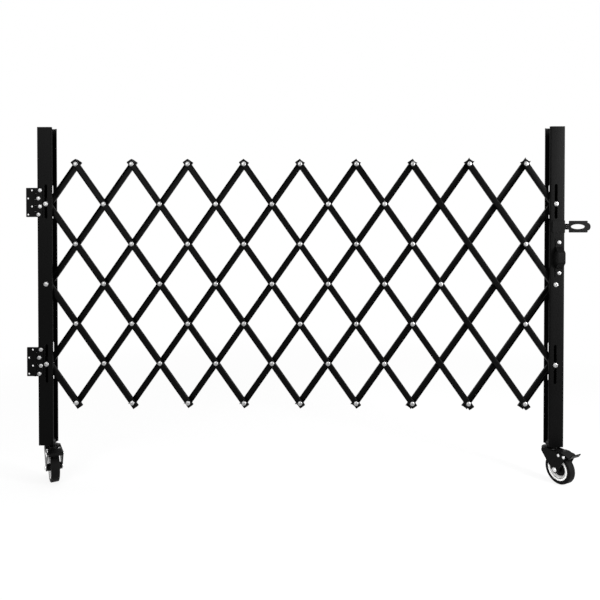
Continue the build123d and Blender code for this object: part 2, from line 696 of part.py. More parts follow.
def save_caster(name, side, trail_angle):
    """One caster under the post on the given side, trailing at its own angle."""
    place = Pos(side * (POST_FACE - SWIVEL_INSET), 0, 0)
    turned = place * Rotation(0, 0, trail_angle)
    save(f"{name}_caster_stem", *[place * solid for solid in caster_stem()])
    save(f"{name}_caster_fork", turned * caster_fork())
    save(f"{name}_caster_bolts", *[turned * solid for solid in caster_bolts()])
    save(f"{name}_wheel_core", turned * wheel_core())
    save(f"{name}_wheel_tyre", turned * wheel_tyre())
    save(f"{name}_brake_pedal", turned * brake_pedal())


def main():
    """Write every piece of the barrier."""
    os.makedirs("parts", exist_ok=True)
    save_lattice()
    save("left_post", drilled_for_screws(post(), screw_places()))
    save("right_post", drilled_for_screws(mirrored(post()), handle_screws()))
    leaf_face = POST_FRONT - LEAF_THICKNESS
    hinge_screws = [Pos(x, 0, z) * screw(leaf_face) for x, z in screw_places()]
    save("left_post_fasteners", fixed_bolt(-1), *hinge_screws)
    strap_face = POST_FRONT - HANDLE_THICKNESS
    handle_fixings = [Pos(x, 0, z) * screw(strap_face) for x, z in handle_screws()]
    save("right_post_fasteners", fixed_bolt(1), *handle_fixings)
    save_hinges()
    save("hasp_plate", *hasp_plate())
    save("hasp_strap", hasp_strap())
    save("pull_handle", pull_handle())
    save_caster("left", -1, LEFT_TRAIL_ANGLE)
    save_caster("right", 1, RIGHT_TRAIL_ANGLE)


main()
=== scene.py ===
"""Looks of the expandable safety barrier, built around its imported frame. Metres throughout."""
from __future__ import annotations

import json
import logging
from dataclasses import dataclass, field
from enum import Enum
from math import atan2, cos, pi, radians, sin, sqrt, tan
from typing import Callable, Iterable, Optional, Sequence

import bmesh
import bpy
from mathutils import Matrix, Vector

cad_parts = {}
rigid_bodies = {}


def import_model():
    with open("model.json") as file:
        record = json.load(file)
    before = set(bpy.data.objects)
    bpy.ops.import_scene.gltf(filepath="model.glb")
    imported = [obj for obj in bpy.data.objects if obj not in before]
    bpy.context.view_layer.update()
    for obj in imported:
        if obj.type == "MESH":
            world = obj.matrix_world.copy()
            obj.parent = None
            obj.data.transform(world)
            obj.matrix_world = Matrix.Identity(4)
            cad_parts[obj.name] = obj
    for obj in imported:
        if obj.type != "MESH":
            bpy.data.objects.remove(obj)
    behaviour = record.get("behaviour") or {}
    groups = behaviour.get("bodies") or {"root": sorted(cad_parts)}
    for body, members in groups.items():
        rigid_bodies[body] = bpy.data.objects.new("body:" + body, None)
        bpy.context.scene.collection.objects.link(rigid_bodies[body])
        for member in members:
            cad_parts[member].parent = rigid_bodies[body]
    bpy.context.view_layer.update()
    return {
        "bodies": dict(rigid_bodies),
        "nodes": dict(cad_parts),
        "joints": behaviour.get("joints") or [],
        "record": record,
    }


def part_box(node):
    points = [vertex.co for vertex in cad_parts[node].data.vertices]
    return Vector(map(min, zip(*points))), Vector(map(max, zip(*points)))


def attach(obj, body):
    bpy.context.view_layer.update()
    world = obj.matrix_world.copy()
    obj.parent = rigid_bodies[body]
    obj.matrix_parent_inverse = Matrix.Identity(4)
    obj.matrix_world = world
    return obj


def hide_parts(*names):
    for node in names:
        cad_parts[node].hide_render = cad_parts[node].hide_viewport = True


LOG = logging.getLogger("barrier")
MM = 0.001
MERGE_DISTANCE = 0.002 * MM
WHITE = (1.0, 1.0, 1.0, 1.0)
# Flats on the small round things that many pieces have.
CORNER_STEPS, NUT_SIDES, SMALL_HOLE_STEPS, HOLE_STEPS = 6, 6, 16, 24
# Sockets that share their names with others of the same node.
MIX_A, MIX_B, MIX_RESULT = 6, 7, 2
COMPARE_A, COMPARE_B = 2, 3
RANDOM_LOW, RANDOM_HIGH, RANDOM_VALUE = 2, 3, 1
Point = Sequence[float]
Outline = Sequence[Point]
Placer = Callable[[float, float, float], Vector]


# Node trees


class Value:
    """A socket that takes part in Python sums, each adding one Math node."""

    def __init__(self, sheet: "Sheet", socket: bpy.types.NodeSocket) -> None:
        """Keep the socket and the sheet that new Math nodes go on."""
        self.sheet, self.socket = sheet, socket

    def _math(self, operation: str, first: object, second: object) -> "Value":
        """Add one Math node on two terms."""
        return self.sheet.value("ShaderNodeMath", {0: first, 1: second}, operation=operation)

    def __add__(self, other: object) -> "Value":
        """Sum."""
        return self._math("ADD", self, other)

    def __sub__(self, other: object) -> "Value":
        """Difference."""
        return self._math("SUBTRACT", self, other)

    def __rsub__(self, other: object) -> "Value":
        """Difference from a plain number."""
        return self._math("SUBTRACT", other, self)

    def __mul__(self, other: object) -> "Value":
        """Product."""
        return self._math("MULTIPLY", self, other)

    __radd__, __rmul__ = __add__, __mul__


class Sheet:
    """A node tree under construction."""

    def __init__(self, tree: bpy.types.NodeTree) -> None:
        """Start on an existing tree."""
        self.tree = tree

    @classmethod
    def on(cls, owner: bpy.types.ID) -> "Sheet":
        """Start on the emptied tree of a new material or world.

        Args:
            owner: The material or world.

        Returns:
            The sheet.
        """
        owner.use_nodes = True
        owner.node_tree.nodes.clear()
        return cls(owner.node_tree)

    def node(
        self, kind: str, inputs: Optional[dict] = None, **settings: object
    ) -> bpy.types.Node:
        """Add one node.

        Args:
            kind: The node's type name.
            inputs: Socket name or index to a plain value, a socket, a Value, or a node, which
                stands for its first output.
            settings: Properties set before the sockets; "stops" sets a ramp's (position, grey)
                pairs.

        Returns:
            The new node.
        """
        made = self.tree.nodes.new(kind)
        for key, setting in settings.items():
            if key == "stops":
                for element, (position, grey) in zip(made.color_ramp.elements, setting):
                    element.position, element.color = position, (grey, grey, grey, 1.0)
            else:
                setattr(made, key, setting)
        for key, given in (inputs or {}).items():
            if isinstance(given, Value):
                given = given.socket
            elif isinstance(given, bpy.types.Node):
                given = given.outputs[0]
            if isinstance(given, bpy.types.NodeSocket):
                self.tree.links.new(given, made.inputs[key])
            else:
                made.inputs[key].default_value = given
        return made

    def value(
        self, kind: str, inputs: Optional[dict] = None, output: object = 0, **settings: object
    ) -> Value:
        """Add one node and wrap one of its outputs."""
        return Value(self, self.node(kind, inputs, **settings).outputs[output])

    def noise(self, place: object, scale: float, detail: float) -> Value:
        """Add one noise texture."""
        inputs = {"Vector": place, "Scale": scale, "Detail": detail}
        return self.value("ShaderNodeTexNoise", inputs, "Fac")


# Finishes


class Surface(Enum):
    """The kinds of surface that the barrier has."""

    POWDER_COAT = "powder_coat"
    ZINC = "zinc"
    MOULDING = "moulding"
    RUBBER = "rubber"


@dataclass(frozen=True)
class Finish:
    """One finish, with the numbers that make it. A key is given where two share a slot."""

    name: str
    slot: str
    surface: Surface
    dark: float
    light: float
    roughness: float
    grain: float = 900.0
    bump: float = 0.05
    blotch: float = 9.0
    metallic: float = 0.0
    specular: float = 0.5
    warmth: float = 0.0
    key: str = ""
    blotch_share: float = 0.7
    contrast: Outline = ((0.3, 0.0), (0.7, 1.0))
    blotch_detail: float = 4.0
    grain_detail: float = 3.0
    brush_detail: float = 2.0
    roughness_spread: float = 0.08
    relief_depth: float = 0.3 * MM
    brushed_scale: Point = (1.0, 0.15, 1.0)
    cell_share: float = 0.6

    def build(self) -> bpy.types.Material:
        """Make the procedural material.

        Returns:
            The new material.
        """
        material = bpy.data.materials.new(self.name)
        sheet = Sheet.on(material)
        place = sheet.node("ShaderNodeTexCoord").outputs["Object"]
        blotch = sheet.noise(place, self.blotch, self.blotch_detail)
        grain = sheet.noise(place, self.grain, self.grain_detail)
        mixture = blotch * self.blotch_share + grain * (1.0 - self.blotch_share)
        ramp = sheet.node("ShaderNodeValToRGB", {0: mixture}, stops=self.contrast)
        dark, light = (
            (grey, grey, grey - self.warmth, 1.0) for grey in (self.dark, self.light)
        )
        colour = sheet.node(
            "ShaderNodeMix", {0: ramp, MIX_A: dark, MIX_B: light}, data_type="RGBA"
        )
        spread = self.roughness_spread
        rough = (grain - 0.5) * spread + (blotch - 0.5) * spread + self.roughness
        bump = sheet.node("ShaderNodeBump", {
            "Strength": self.bump, "Distance": self.relief_depth,
            "Height": self._relief(sheet, place, grain),
        })
        shader = sheet.node("ShaderNodeBsdfPrincipled", {
            "Base Color": colour.outputs[MIX_RESULT], "Roughness": rough, "Normal": bump,
            "Metallic": self.metallic, "Specular IOR Level": self.specular,
        })
        sheet.node("ShaderNodeOutputMaterial", {"Surface": shader})
        return material

    def _relief(self, sheet: Sheet, place: bpy.types.NodeSocket, grain: Value) -> Value:
        """The height pattern of this kind of surface.

        Args:
            sheet: Where the nodes go.
            place: The point on the surface.
            grain: The plain fine pattern.

        Returns:
            A brushed pattern for zinc, a cellular one for rubber, or else the plain one.
        """
        if self.surface is Surface.ZINC:
            inputs = {"Vector": place, "Scale": self.brushed_scale}
            stretched = sheet.node("ShaderNodeMapping", inputs)
            return sheet.noise(stretched, self.grain * 2, self.brush_detail)
        if self.surface is Surface.RUBBER:
            inputs = {"Vector": place, "Scale": self.grain}
            cells = sheet.value("ShaderNodeTexVoronoi", inputs, "Distance")
            return cells * self.cell_share + grain * (1.0 - self.cell_share)
        return grain


COAT, ZINC = Surface.POWDER_COAT, Surface.ZINC
FINISHES = (
    Finish("post_powder_coat", "post_black", COAT, 0.001, 0.002, 0.42, blotch=5.0,
           specular=0.038),
    Finish("front_bar_powder_coat", "bar_black", COAT, 0.0006, 0.0018, 0.36, specular=0.04),
    Finish("rear_bar_powder_coat", "bar_black_rear", COAT, 0.0006, 0.0018, 0.38, specular=0.04),
    Finish("hinge_powder_coat", "hinge_black", COAT, 0.0008, 0.002, 0.40, specular=0.04),
    Finish("hasp_powder_coat", "hasp_black", COAT, 0.001, 0.002, 0.42, specular=0.042),
    Finish("fastener_zinc_plate", "fastener_zinc", ZINC, 0.26, 0.42, 0.42, 1200.0, 0.10,
           metallic=1.0),
    Finish("bright_zinc_plate", "fastener_zinc", ZINC, 0.66, 0.86, 0.28, 1200.0, 0.06,
           metallic=1.0, key="bright_zinc"),
    Finish("rivet_zinc_plate", "rivet_zinc", ZINC, 0.25, 0.41, 0.40, 1200.0, 0.12,
           metallic=1.0),
    Finish("stem_dark_zinc_plate", "stem_zinc", ZINC, 0.03, 0.07, 0.38, 1000.0, 0.10,
           metallic=1.0),
    Finish("fork_enamel", "fork_black", COAT, 0.001, 0.0025, 0.32, specular=0.06),
    Finish("pedal_enamel", "pedal_black", COAT, 0.0006, 0.0018, 0.34, specular=0.04),
    Finish("wheel_core_moulding", "wheel_core_white", Surface.MOULDING, 0.78, 0.88, 0.40, 600.0,
           warmth=0.01),
    Finish("tyre_rubber", "tyre_black", Surface.RUBBER, 0.0015, 0.0035, 0.62, 500.0, 0.25,
           specular=0.07),
)


class Palette:
    """Every material, made once."""

    def __init__(self) -> None:
        """Build each finish."""
        self.slots = {finish.key or finish.slot: finish.slot for finish in FINISHES}
        self.materials = {finish.key or finish.slot: finish.build() for finish in FINISHES}

    def dress(self, piece: bpy.types.Object, key: str) -> None:
        """Give a piece its only material.

        Args:
            piece: The visible piece.
            key: The key of its finish.
        """
        piece.data.materials.clear()
        piece.data.materials.append(self.materials[key])


# Outlines and profiles


def ring_points(
    radius: float, centre: Point = (0, 0), steps: int = 32, start: float = 0.0,
    sweep: float = 2 * pi,
) -> list:
    """Points on a circle or an arc.

    Args:
        radius: The circle's radius.
        centre: Its centre.
        steps: Parts that it is divided in.
        start: Angle of the first point.
        sweep: Angle covered; less than a full turn is an arc, with both its ends.

    Returns:
        The points, anticlockwise when the sweep is positive.
    """
    count = steps if abs(sweep - 2 * pi) < 1e-9 else steps + 1
    angles = (start + sweep * i / steps for i in range(count))
    return [(centre[0] + radius * cos(a), centre[1] + radius * sin(a)) for a in angles]


def quarter(steps: int) -> list:
    """Angles that divide a quarter turn, both ends included."""
    return [pi / 2 * i / steps for i in range(steps + 1)]


def rounded_box(left: float, right: float, low: float, high: float, radius: float) -> list:
    """Outline of a rectangle with rounded corners.

    Args:
        left, right, low, high: The rectangle's sides.
        radius: Of each corner.

    Returns:
        The points, anticlockwise.
    """
    left, right, low, high = left + radius, right - radius, low + radius, high - radius
    points = []
    for i, centre in enumerate(((right, high), (left, high), (left, low), (right, low))):
        points += ring_points(radius, centre, CORNER_STEPS, i * pi / 2, pi / 2)
    return points


def slot_points(first: Point, last: Point, radius: float, steps: int = 12) -> list:
    """Outline of a slot.

    Args:
        first: Centre of one end.
        last: Centre of the other end.
        radius: Half the slot's width.
        steps: Flats on each end.

    Returns:
        The points, anticlockwise.
    """
    angle = atan2(last[1] - first[1], last[0] - first[0])
    ends = ring_points(radius, last, steps, angle - pi / 2, pi)
    return ends + ring_points(radius, first, steps, angle + pi / 2, pi)


def hull(points: Outline) -> list:
    """Convex outline round a set of points.

    Args:
        points: The points, in any order.

    Returns:
        The outline's points, anticlockwise.
    """
    ordered = sorted(set((round(x, 7), round(y, 7)) for x, y in points))

    def turn(a: Point, b: Point, c: Point) -> float:
        """Twice the signed area of three points."""
        return (b[0] - a[0]) * (c[1] - a[1]) - (b[1] - a[1]) * (c[0] - a[0])

    def half(run: Iterable[tuple]) -> list:
        """One side of the outline.

        Args:
            run: The ordered points, forward or backward.

        Returns:
            Those on this side, but for the last.
        """
        side: list = []
        for point in run:
            while len(side) > 1 and turn(side[-2], side[-1], point) <= 0:
                side.pop()
            side.append(point)
        return side[:-1]

    return half(ordered) + half(reversed(ordered))


def softened(corners: Outline, radius: float) -> list:
    """A path with each inner corner turned into an arc.

    Args:
        corners: The path's corners.
        radius: Of each arc.

    Returns:
        The path's points.
    """
    path = [corners[0]]
    for before, corner, after in zip(corners, corners[1:], corners[2:]):
        middle = Vector(corner)
        back, ahead = ((Vector(end) - middle).normalized() for end in (before, after))
        angle = back.angle(ahead)
        reach = radius / tan(angle / 2)
        centre = middle + (back + ahead).normalized() * (radius / sin(angle / 2))
        first, last = middle + back * reach - centre, middle + ahead * reach - centre
        swing = first.angle_signed(last)
        for i in range(CORNER_STEPS + 1):
            turn = Matrix.Rotation(-swing * i / CORNER_STEPS, 2)
            path.append(tuple(centre + turn @ first))
    return [*path, corners[-1]]


def thickened(line: Outline, thickness: float) -> list:
    """Outline of a bent strip.

    Args:
        line: One face of the strip.
        thickness: How far the other face stands, to the right of the line's direction.

    Returns:
        The points of both faces, as one outline.
    """
    aside = []
    for i, point in enumerate(line):
        before, after = Vector(line[max(i - 1, 0)]), Vector(line[min(i + 1, len(line) - 1)])
        along = (after - before).normalized()
        aside.append(tuple(Vector(point) + Vector((along.y, -along.x)) * thickness))
    return [*line, *aside[::-1]]


def spindle(radius: float, low: float, high: float, chamfer: Point, bore: float = 0.0) -> list:
    """Profile of a round bar or a tube with chamfered ends.

    Args:
        radius: The outer radius.
        low: Height of the first end.
        high: Height of the last end.
        chamfer: How far each chamfer goes inward and along.
        bore: The inner radius.

    Returns:
        (radius, height) points.
    """
    inward, along = chamfer
    return [
        (bore, low), (radius - inward, low), (radius, low + along),
        (radius, high - along), (radius - inward, high), (bore, high),
    ]


# Mesh making


class Shape:
    """A bmesh under construction, with a maker's few operations."""

    def __init__(self, meshes: Sequence[bpy.types.Mesh] = ()) -> None:
        """Start empty or from plain meshes.

        Args:
            meshes: What goes in at once; each is used up.
        """
        self.mesh = bmesh.new()
        for mesh in meshes:
            self.mesh.from_mesh(mesh)
            bpy.data.meshes.remove(mesh)

    def plate(
        self, outline: Outline, holes: Iterable[Outline], low: float, high: float, place: Placer,
        open_edges: Sequence[int] = (),
    ) -> "Shape":
        """Add a flat plate with through holes.

        Args:
            outline: Corners of the outer edge, as (u, v).
            holes: Corners of each hole, as (u, v).
            low: Where the plate starts along w.
            high: Where it ends along w.
            place: Turns (u, v, w) into a point of the frame.
            open_edges: Corners whose edge from the corner before gets no wall, because a bend
                joins there.

        Returns:
            This shape.
        """
        new_vert, new_edge, new_face = (
            kind.new for kind in (self.mesh.verts, self.mesh.edges, self.mesh.faces)
        )
        levels = []
        for w in (low, high):
            loops = [[new_vert(place(u, v, w)) for u, v in ring] for ring in (outline, *holes)]
            edges = [new_edge((loop[i - 1], loop[i])) for loop in loops for i in range(len(loop))]
            bmesh.ops.triangle_fill(
                self.mesh, use_beauty=True, use_dissolve=False, edges=edges
            )
            levels.append(loops)
        for number, (under, over) in enumerate(zip(*levels)):
            for i in range(len(under)):
                if number or i not in open_edges:
                    new_face((under[i - 1], under[i], over[i], over[i - 1]))
        return self

    def turned(
        self, profile: Outline, place: Placer, steps: int = 32, closed: bool = False
    ) -> "Shape":
        """Add a body of revolution.

        Args:
            profile: (radius, height) points; a radius of zero closes the body at a pole.
            place: Turns (x, y, height) into a point of the frame.
            steps: Flats around.
            closed: Whether the profile's ends join, as on a ring.

        Returns:
            This shape.
        """
        rows, new_vert = [], self.mesh.verts.new
        for radius, height in profile:
            if radius:
                circle = ring_points(radius, steps=steps)
                rows.append([new_vert(place(x, y, height)) for x, y in circle])
            else:
                rows.append([new_vert(place(0, 0, height))] * steps)
        for below, above in [*zip(rows, rows[1:]), *([(rows[-1], rows[0])] if closed else [])]:
            for i in range(steps):
                corners = dict.fromkeys((below[i - 1], below[i], above[i], above[i - 1]))
                if len(corners) > 2:
                    self.mesh.faces.new(list(corners))
        return self

    def as_object(self, name: str) -> bpy.types.Object:
        """End the bmesh as an object in the scene.

        Args:
            name: The object's name.

        Returns:
            The new object.
        """
        data = bpy.data.meshes.new(name)
        self.mesh.to_mesh(data)
        self.mesh.free()
        made = bpy.data.objects.new(name, data)
        bpy.context.scene.collection.objects.link(made)
        return made

    def finish(self, name: str, smooth_angle: float, bevel: float) -> bpy.types.Object:
        """Turn the bmesh into a clean object whose faces point outwards.

        Args:
            name: The object's name.
            smooth_angle: Edges flatter than this, in degrees, are shaded smooth.
            bevel: Width of the eased edge, or zero.

        Returns:
            The new object.
        """
        limit = radians(smooth_angle)
        bmesh.ops.remove_doubles(self.mesh, verts=self.mesh.verts, dist=MERGE_DISTANCE)
        bmesh.ops.recalc_face_normals(self.mesh, faces=self.mesh.faces)
        for face in self.mesh.faces:
            face.smooth = True
        for edge in self.mesh.edges:
            edge.smooth = len(edge.link_faces) == 2 and edge.calc_face_angle(pi) < limit
        piece = self.as_object(name)
        if bevel:
            ease = piece.modifiers.new("eased_edges", "BEVEL")
            ease.width, ease.segments = bevel, 2
            ease.limit_method, ease.angle_limit = "ANGLE", limit
        return piece


# Geometry Nodes for what repeats


class RepeatTree:
    """A Geometry Nodes tree with named inputs, whose result is made a plain mesh."""

    def __init__(self, name: str, **inputs: str) -> None:
        """Make the tree and its sockets.

        Args:
            name: The tree's name.
            inputs: Input names, each with the ending of its socket type, such as Float.
        """
        self.tree = bpy.data.node_groups.new(name, "GeometryNodeTree")
        new_socket = self.tree.interface.new_socket
        new_socket("Geometry", in_out="OUTPUT", socket_type="NodeSocketGeometry")
        placing = {"Start": "Vector", "Slope": "Float", "Material": "Material"}
        self.identifiers = {
            label: new_socket(label, in_out="INPUT", socket_type=f"NodeSocket{kind}").identifier
            for label, kind in {**inputs, **placing}.items()
        }
        self.sheet = Sheet(self.tree)
        self.given = self.sheet.node("NodeGroupInput").outputs

    def close(self, geometry: bpy.types.Node) -> None:
        """End the tree in Realize Instances, placing and Set Material.

        Args:
            geometry: The node whose first output is the tree's result.
        """
        sheet, given = self.sheet, self.given
        real = sheet.node("GeometryNodeRealizeInstances", {0: geometry})
        placed = sheet.node("GeometryNodeTransform", {
            "Geometry": real, "Translation": given["Start"],
            "Rotation": sheet.node("ShaderNodeCombineXYZ", {"Y": given["Slope"]}),
        })
        dressed = sheet.node(
            "GeometryNodeSetMaterial", {"Geometry": placed, "Material": given["Material"]}
        )
        sheet.node("NodeGroupOutput", {0: dressed})

    def mesh(self, **values: object) -> bpy.types.Mesh:
        """Evaluate the tree.

        Args:
            values: A value for each named input.

        Returns:
            The result as a plain mesh.
        """
        host = bpy.data.objects.new("host", bpy.data.meshes.new("host"))
        bpy.context.scene.collection.objects.link(host)
        modifier = host.modifiers.new("repeat", "NODES")
        modifier.node_group = self.tree
        for label, value in values.items():
            modifier[self.identifiers[label]] = value
        graph = bpy.context.evaluated_depsgraph_get()
        graph.update()
        plain = bpy.data.meshes.new_from_object(host.evaluated_get(graph))
        bpy.data.objects.remove(host)
        return plain


def bar_tree() -> RepeatTree:
    """Build the tree that draws one channel bar out from its section.

    Returns:
        The tree, with the inputs Section, Length, Start, Slope and Material.
    """
    tree = RepeatTree("channel_bar", Section="Object", Length="Float")
    sheet, given = tree.sheet, tree.given
    section = sheet.node("GeometryNodeObjectInfo", {0: given["Section"]}).outputs["Geometry"]
    reach = sheet.node("ShaderNodeCombineXYZ", {"X": given["Length"]})
    drawn = sheet.node(
        "GeometryNodeExtrudeMesh",
        {"Mesh": section, "Offset": reach, "Offset Scale": 1.0, "Individual": False},
        mode="FACES",
    )
    foot = sheet.node("GeometryNodeFlipFaces", {0: section})
    joined = sheet.node("GeometryNodeJoinGeometry")
    for part in (drawn, foot):
        tree.tree.links.new(part.outputs[0], joined.inputs[0])
    tree.close(sheet.node(
        "GeometryNodeMergeByDistance", {"Geometry": joined, "Distance": MERGE_DISTANCE}
    ))
    return tree


def fastener_tree() -> RepeatTree:
    """Build the tree that sets a row of like fasteners, each with a random roll.

    Returns:
        The tree, with the inputs Fastener, Count, Pitch, Stagger, BareFrom, BareTo, Seed,
        Start, Slope and Material.
    """
    tree = RepeatTree(
        "fastener_row", Fastener="Object", Count="Int", Pitch="Float", Stagger="Float",
        BareFrom="Int", BareTo="Int", Seed="Int",
    )
    sheet, given = tree.sheet, tree.given
    step = sheet.node("ShaderNodeCombineXYZ", {"X": given["Pitch"]})
    line = sheet.node(
        "GeometryNodeMeshLine", {"Count": given["Count"], "Offset": step}, mode="OFFSET"
    )
    index = sheet.value("GeometryNodeInputIndex")
    odd = sheet.value("ShaderNodeMath", {0: index, 1: 2.0}, operation="MODULO")
    side = sheet.node("ShaderNodeCombineXYZ", {"Z": odd * Value(sheet, given["Stagger"])})
    moved = sheet.node("GeometryNodeSetPosition", {"Geometry": line, "Offset": side})
    before, after = (
        sheet.node(
            "FunctionNodeCompare", {COMPARE_A: index, COMPARE_B: given[bound]},
            data_type="INT", operation=test,
        )
        for test, bound in (("LESS_THAN", "BareFrom"), ("GREATER_THAN", "BareTo"))
    )
    kept = sheet.node("FunctionNodeBooleanMath", {0: before, 1: after}, operation="OR")
    roll = sheet.value(
        "FunctionNodeRandomValue",
        {RANDOM_LOW: 0.0, RANDOM_HIGH: 2 * pi, "ID": index, "Seed": given["Seed"]},
        RANDOM_VALUE, data_type="FLOAT",
    )
    fastener = sheet.node("GeometryNodeObjectInfo", {0: given["Fastener"]})
    tree.close(sheet.node("GeometryNodeInstanceOnPoints", {
        "Points": moved, "Selection": kept, "Instance": fastener.outputs["Geometry"],
        "Rotation": sheet.node("ShaderNodeCombineXYZ", {"Y": roll}),
    }))
    return tree


# Fasteners


@dataclass(frozen=True)
class Fastener:
    """A domed head on a shank, with a formed tail or a nut behind."""

    head_radius: float
    head_height: float
    shank_radius: float
    grip: float
    tail_radius: float
    tail_height: float
    socket_radius: float
    socket_depth: float
    nut: bool = False
    steps: int = 28
    dome_steps: int = 7
    tail_steps: int = 4
    lip_factor: float = 1.15
    edge_share: float = 0.18
    nut_chamfer: Point = (0.1, 0.8 * MM)
    nut_spare: float = 0.5 * MM

    def model(self, name: str, seat: float) -> bpy.types.Object:
        """Make the master object, along Y.

        Args:
            name: The master's name.
            seat: Y of the surface that the head sits on.

        Returns:
            An object that a fastener row copies and that is removed after it.
        """
        def place(x: float, y: float, z: float) -> Vector:
            """From coordinates about the shank to the master's own."""
            return Vector((x, seat - z, y))

        shape = Shape().turned(self._profile(), place, self.steps)
        if self.nut:
            share, edge = self.nut_chamfer
            low, high = -self.grip, -self.grip - self.tail_height
            chamfer = (share * self.tail_radius, -edge)
            shape.turned(spindle(self.tail_radius, low, high, chamfer), place, NUT_SIDES)
        bmesh.ops.recalc_face_normals(shape.mesh, faces=shape.mesh.faces)
        return shape.as_object(name)

    def _profile(self) -> list:
        """The outline of one half.

        Returns:
            (radius, height) points from the head's centre to the tail's.
        """
        lip, shank, back = self.socket_radius * self.lip_factor, self.shank_radius, -self.grip
        top, edge, reach = self.head_height, self.edge_share, self.head_radius - lip
        floor = top - self.socket_depth
        dome = [
            (lip + reach * sin(a), top * (edge + (1 - edge) * cos(a)))
            for a in quarter(self.dome_steps)
        ]
        points = [
            (0, floor), (self.socket_radius, floor), *dome, (self.head_radius, 0), (shank, 0),
            (shank, back),
        ]
        end = back - self.tail_height
        if self.nut:
            return [*points, (shank, end - self.nut_spare), (0, end - self.nut_spare)]
        tail = [
            (self.tail_radius * cos(a), back - self.tail_height * sin(a))
            for a in quarter(self.tail_steps)[:-1]
        ]
        return [*points, *tail, (0, end)]


SMALL_SCREW = Fastener(
    head_radius=7.0 * MM, head_height=3.7 * MM, shank_radius=2.5 * MM, grip=7.5 * MM,
    tail_radius=2.2 * MM, tail_height=0.6 * MM, socket_radius=2.1 * MM, socket_depth=1.9 * MM,
)
POST_BOLT = Fastener(
    head_radius=8.5 * MM, head_height=5.0 * MM, shank_radius=5.0 * MM, grip=50.6 * MM,
    tail_radius=8.7 * MM, tail_height=6.0 * MM, socket_radius=3.0 * MM, socket_depth=2.6 * MM,
    nut=True,
)
RIVET = Fastener(
    head_radius=8.0 * MM, head_height=4.2 * MM, shank_radius=3.0 * MM, grip=24.6 * MM,
    tail_radius=5.5 * MM, tail_height=2.4 * MM, socket_radius=1.3 * MM, socket_depth=0.9 * MM,
)
POST_BOLT_SEAT = -25.3 * MM

# Edges flatter than these, in degrees, are shaded smooth.
SMOOTH_NUT, SMOOTH_BARREL, SMOOTH_TURNED = 20.0, 25.0, 30.0
SMOOTH_CAP, SMOOTH_PLATE, SMOOTH_TYRE = 35.0, 40.0, 50.0


@dataclass
class Workshop:
    """What every sub-assembly shares: the frame, the finishes and the tree for fasteners."""

    frame: dict
    palette: Palette = field(default_factory=Palette)
    rows: RepeatTree = field(default_factory=fastener_tree)

    def spot(self, joint: str) -> Vector:
        """Where a joint of the frame is."""
        rows = self.frame["joints"]
        return Vector(next(row for row in rows if row["name"] == joint)["pos_m"])

    def seat(
        self, shape: Shape, name: str, key: str, node: str, body: str,
        smooth_angle: float = SMOOTH_PLATE, bevel: float = 0.0,
    ) -> None:
        """Make a shape one visible piece.

        Args:
            shape: What was built.
            name: The piece's name.
            key: The key of its finish.
            node: The node that it stands for.
            body: The body that it rides on.
            smooth_angle: Edges flatter than this, in degrees, are shaded smooth.
            bevel: Width of the eased edge, or zero.
        """
        piece = shape.finish(name, smooth_angle, bevel)
        self.palette.dress(piece, key)
        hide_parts(node)
        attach(piece, body)
        LOG.info("made %s", name)

    def row(
        self, master: bpy.types.Object, key: str, start: Vector, slope: float, count: int = 1,
        pitch: float = 0.0, stagger: float = 0.0, bare: Sequence[int] = (1, 0), seed: int = 1,
    ) -> bpy.types.Mesh:
        """Set a row of like fasteners.

        Args:
            master: The fastener that is copied.
            key: The key of its finish.
            start: Where the first one stands.
            slope: The row's turn about Y.
            count: How many places the row has.
            pitch: Distance between places.
            stagger: How far every second one stands aside.
            bare: The first and last place left bare, or (1, 0) for none.
            seed: Seed of the random roll.

        Returns:
            The row as a plain mesh.
        """
        return self.rows.mesh(
            Fastener=master, Count=count, Pitch=pitch, Stagger=stagger, BareFrom=bare[0],
            BareTo=bare[1], Seed=seed, Start=start, Slope=slope,
            Material=self.palette.materials[key],
        )

    def middle_bolt(self, joint: str) -> bpy.types.Mesh:
        """Set the fixed bolt of a post's middle row.

        Args:
            joint: The joint where it stands.

        Returns:
            The bolt as a plain mesh.
        """
        master = POST_BOLT.model("middle_bolt_master", POST_BOLT_SEAT)
        mesh = self.row(master, "fastener_zinc", self.spot(joint), 0.0)
        bpy.data.objects.remove(master)
        return mesh


# Sub-assemblies


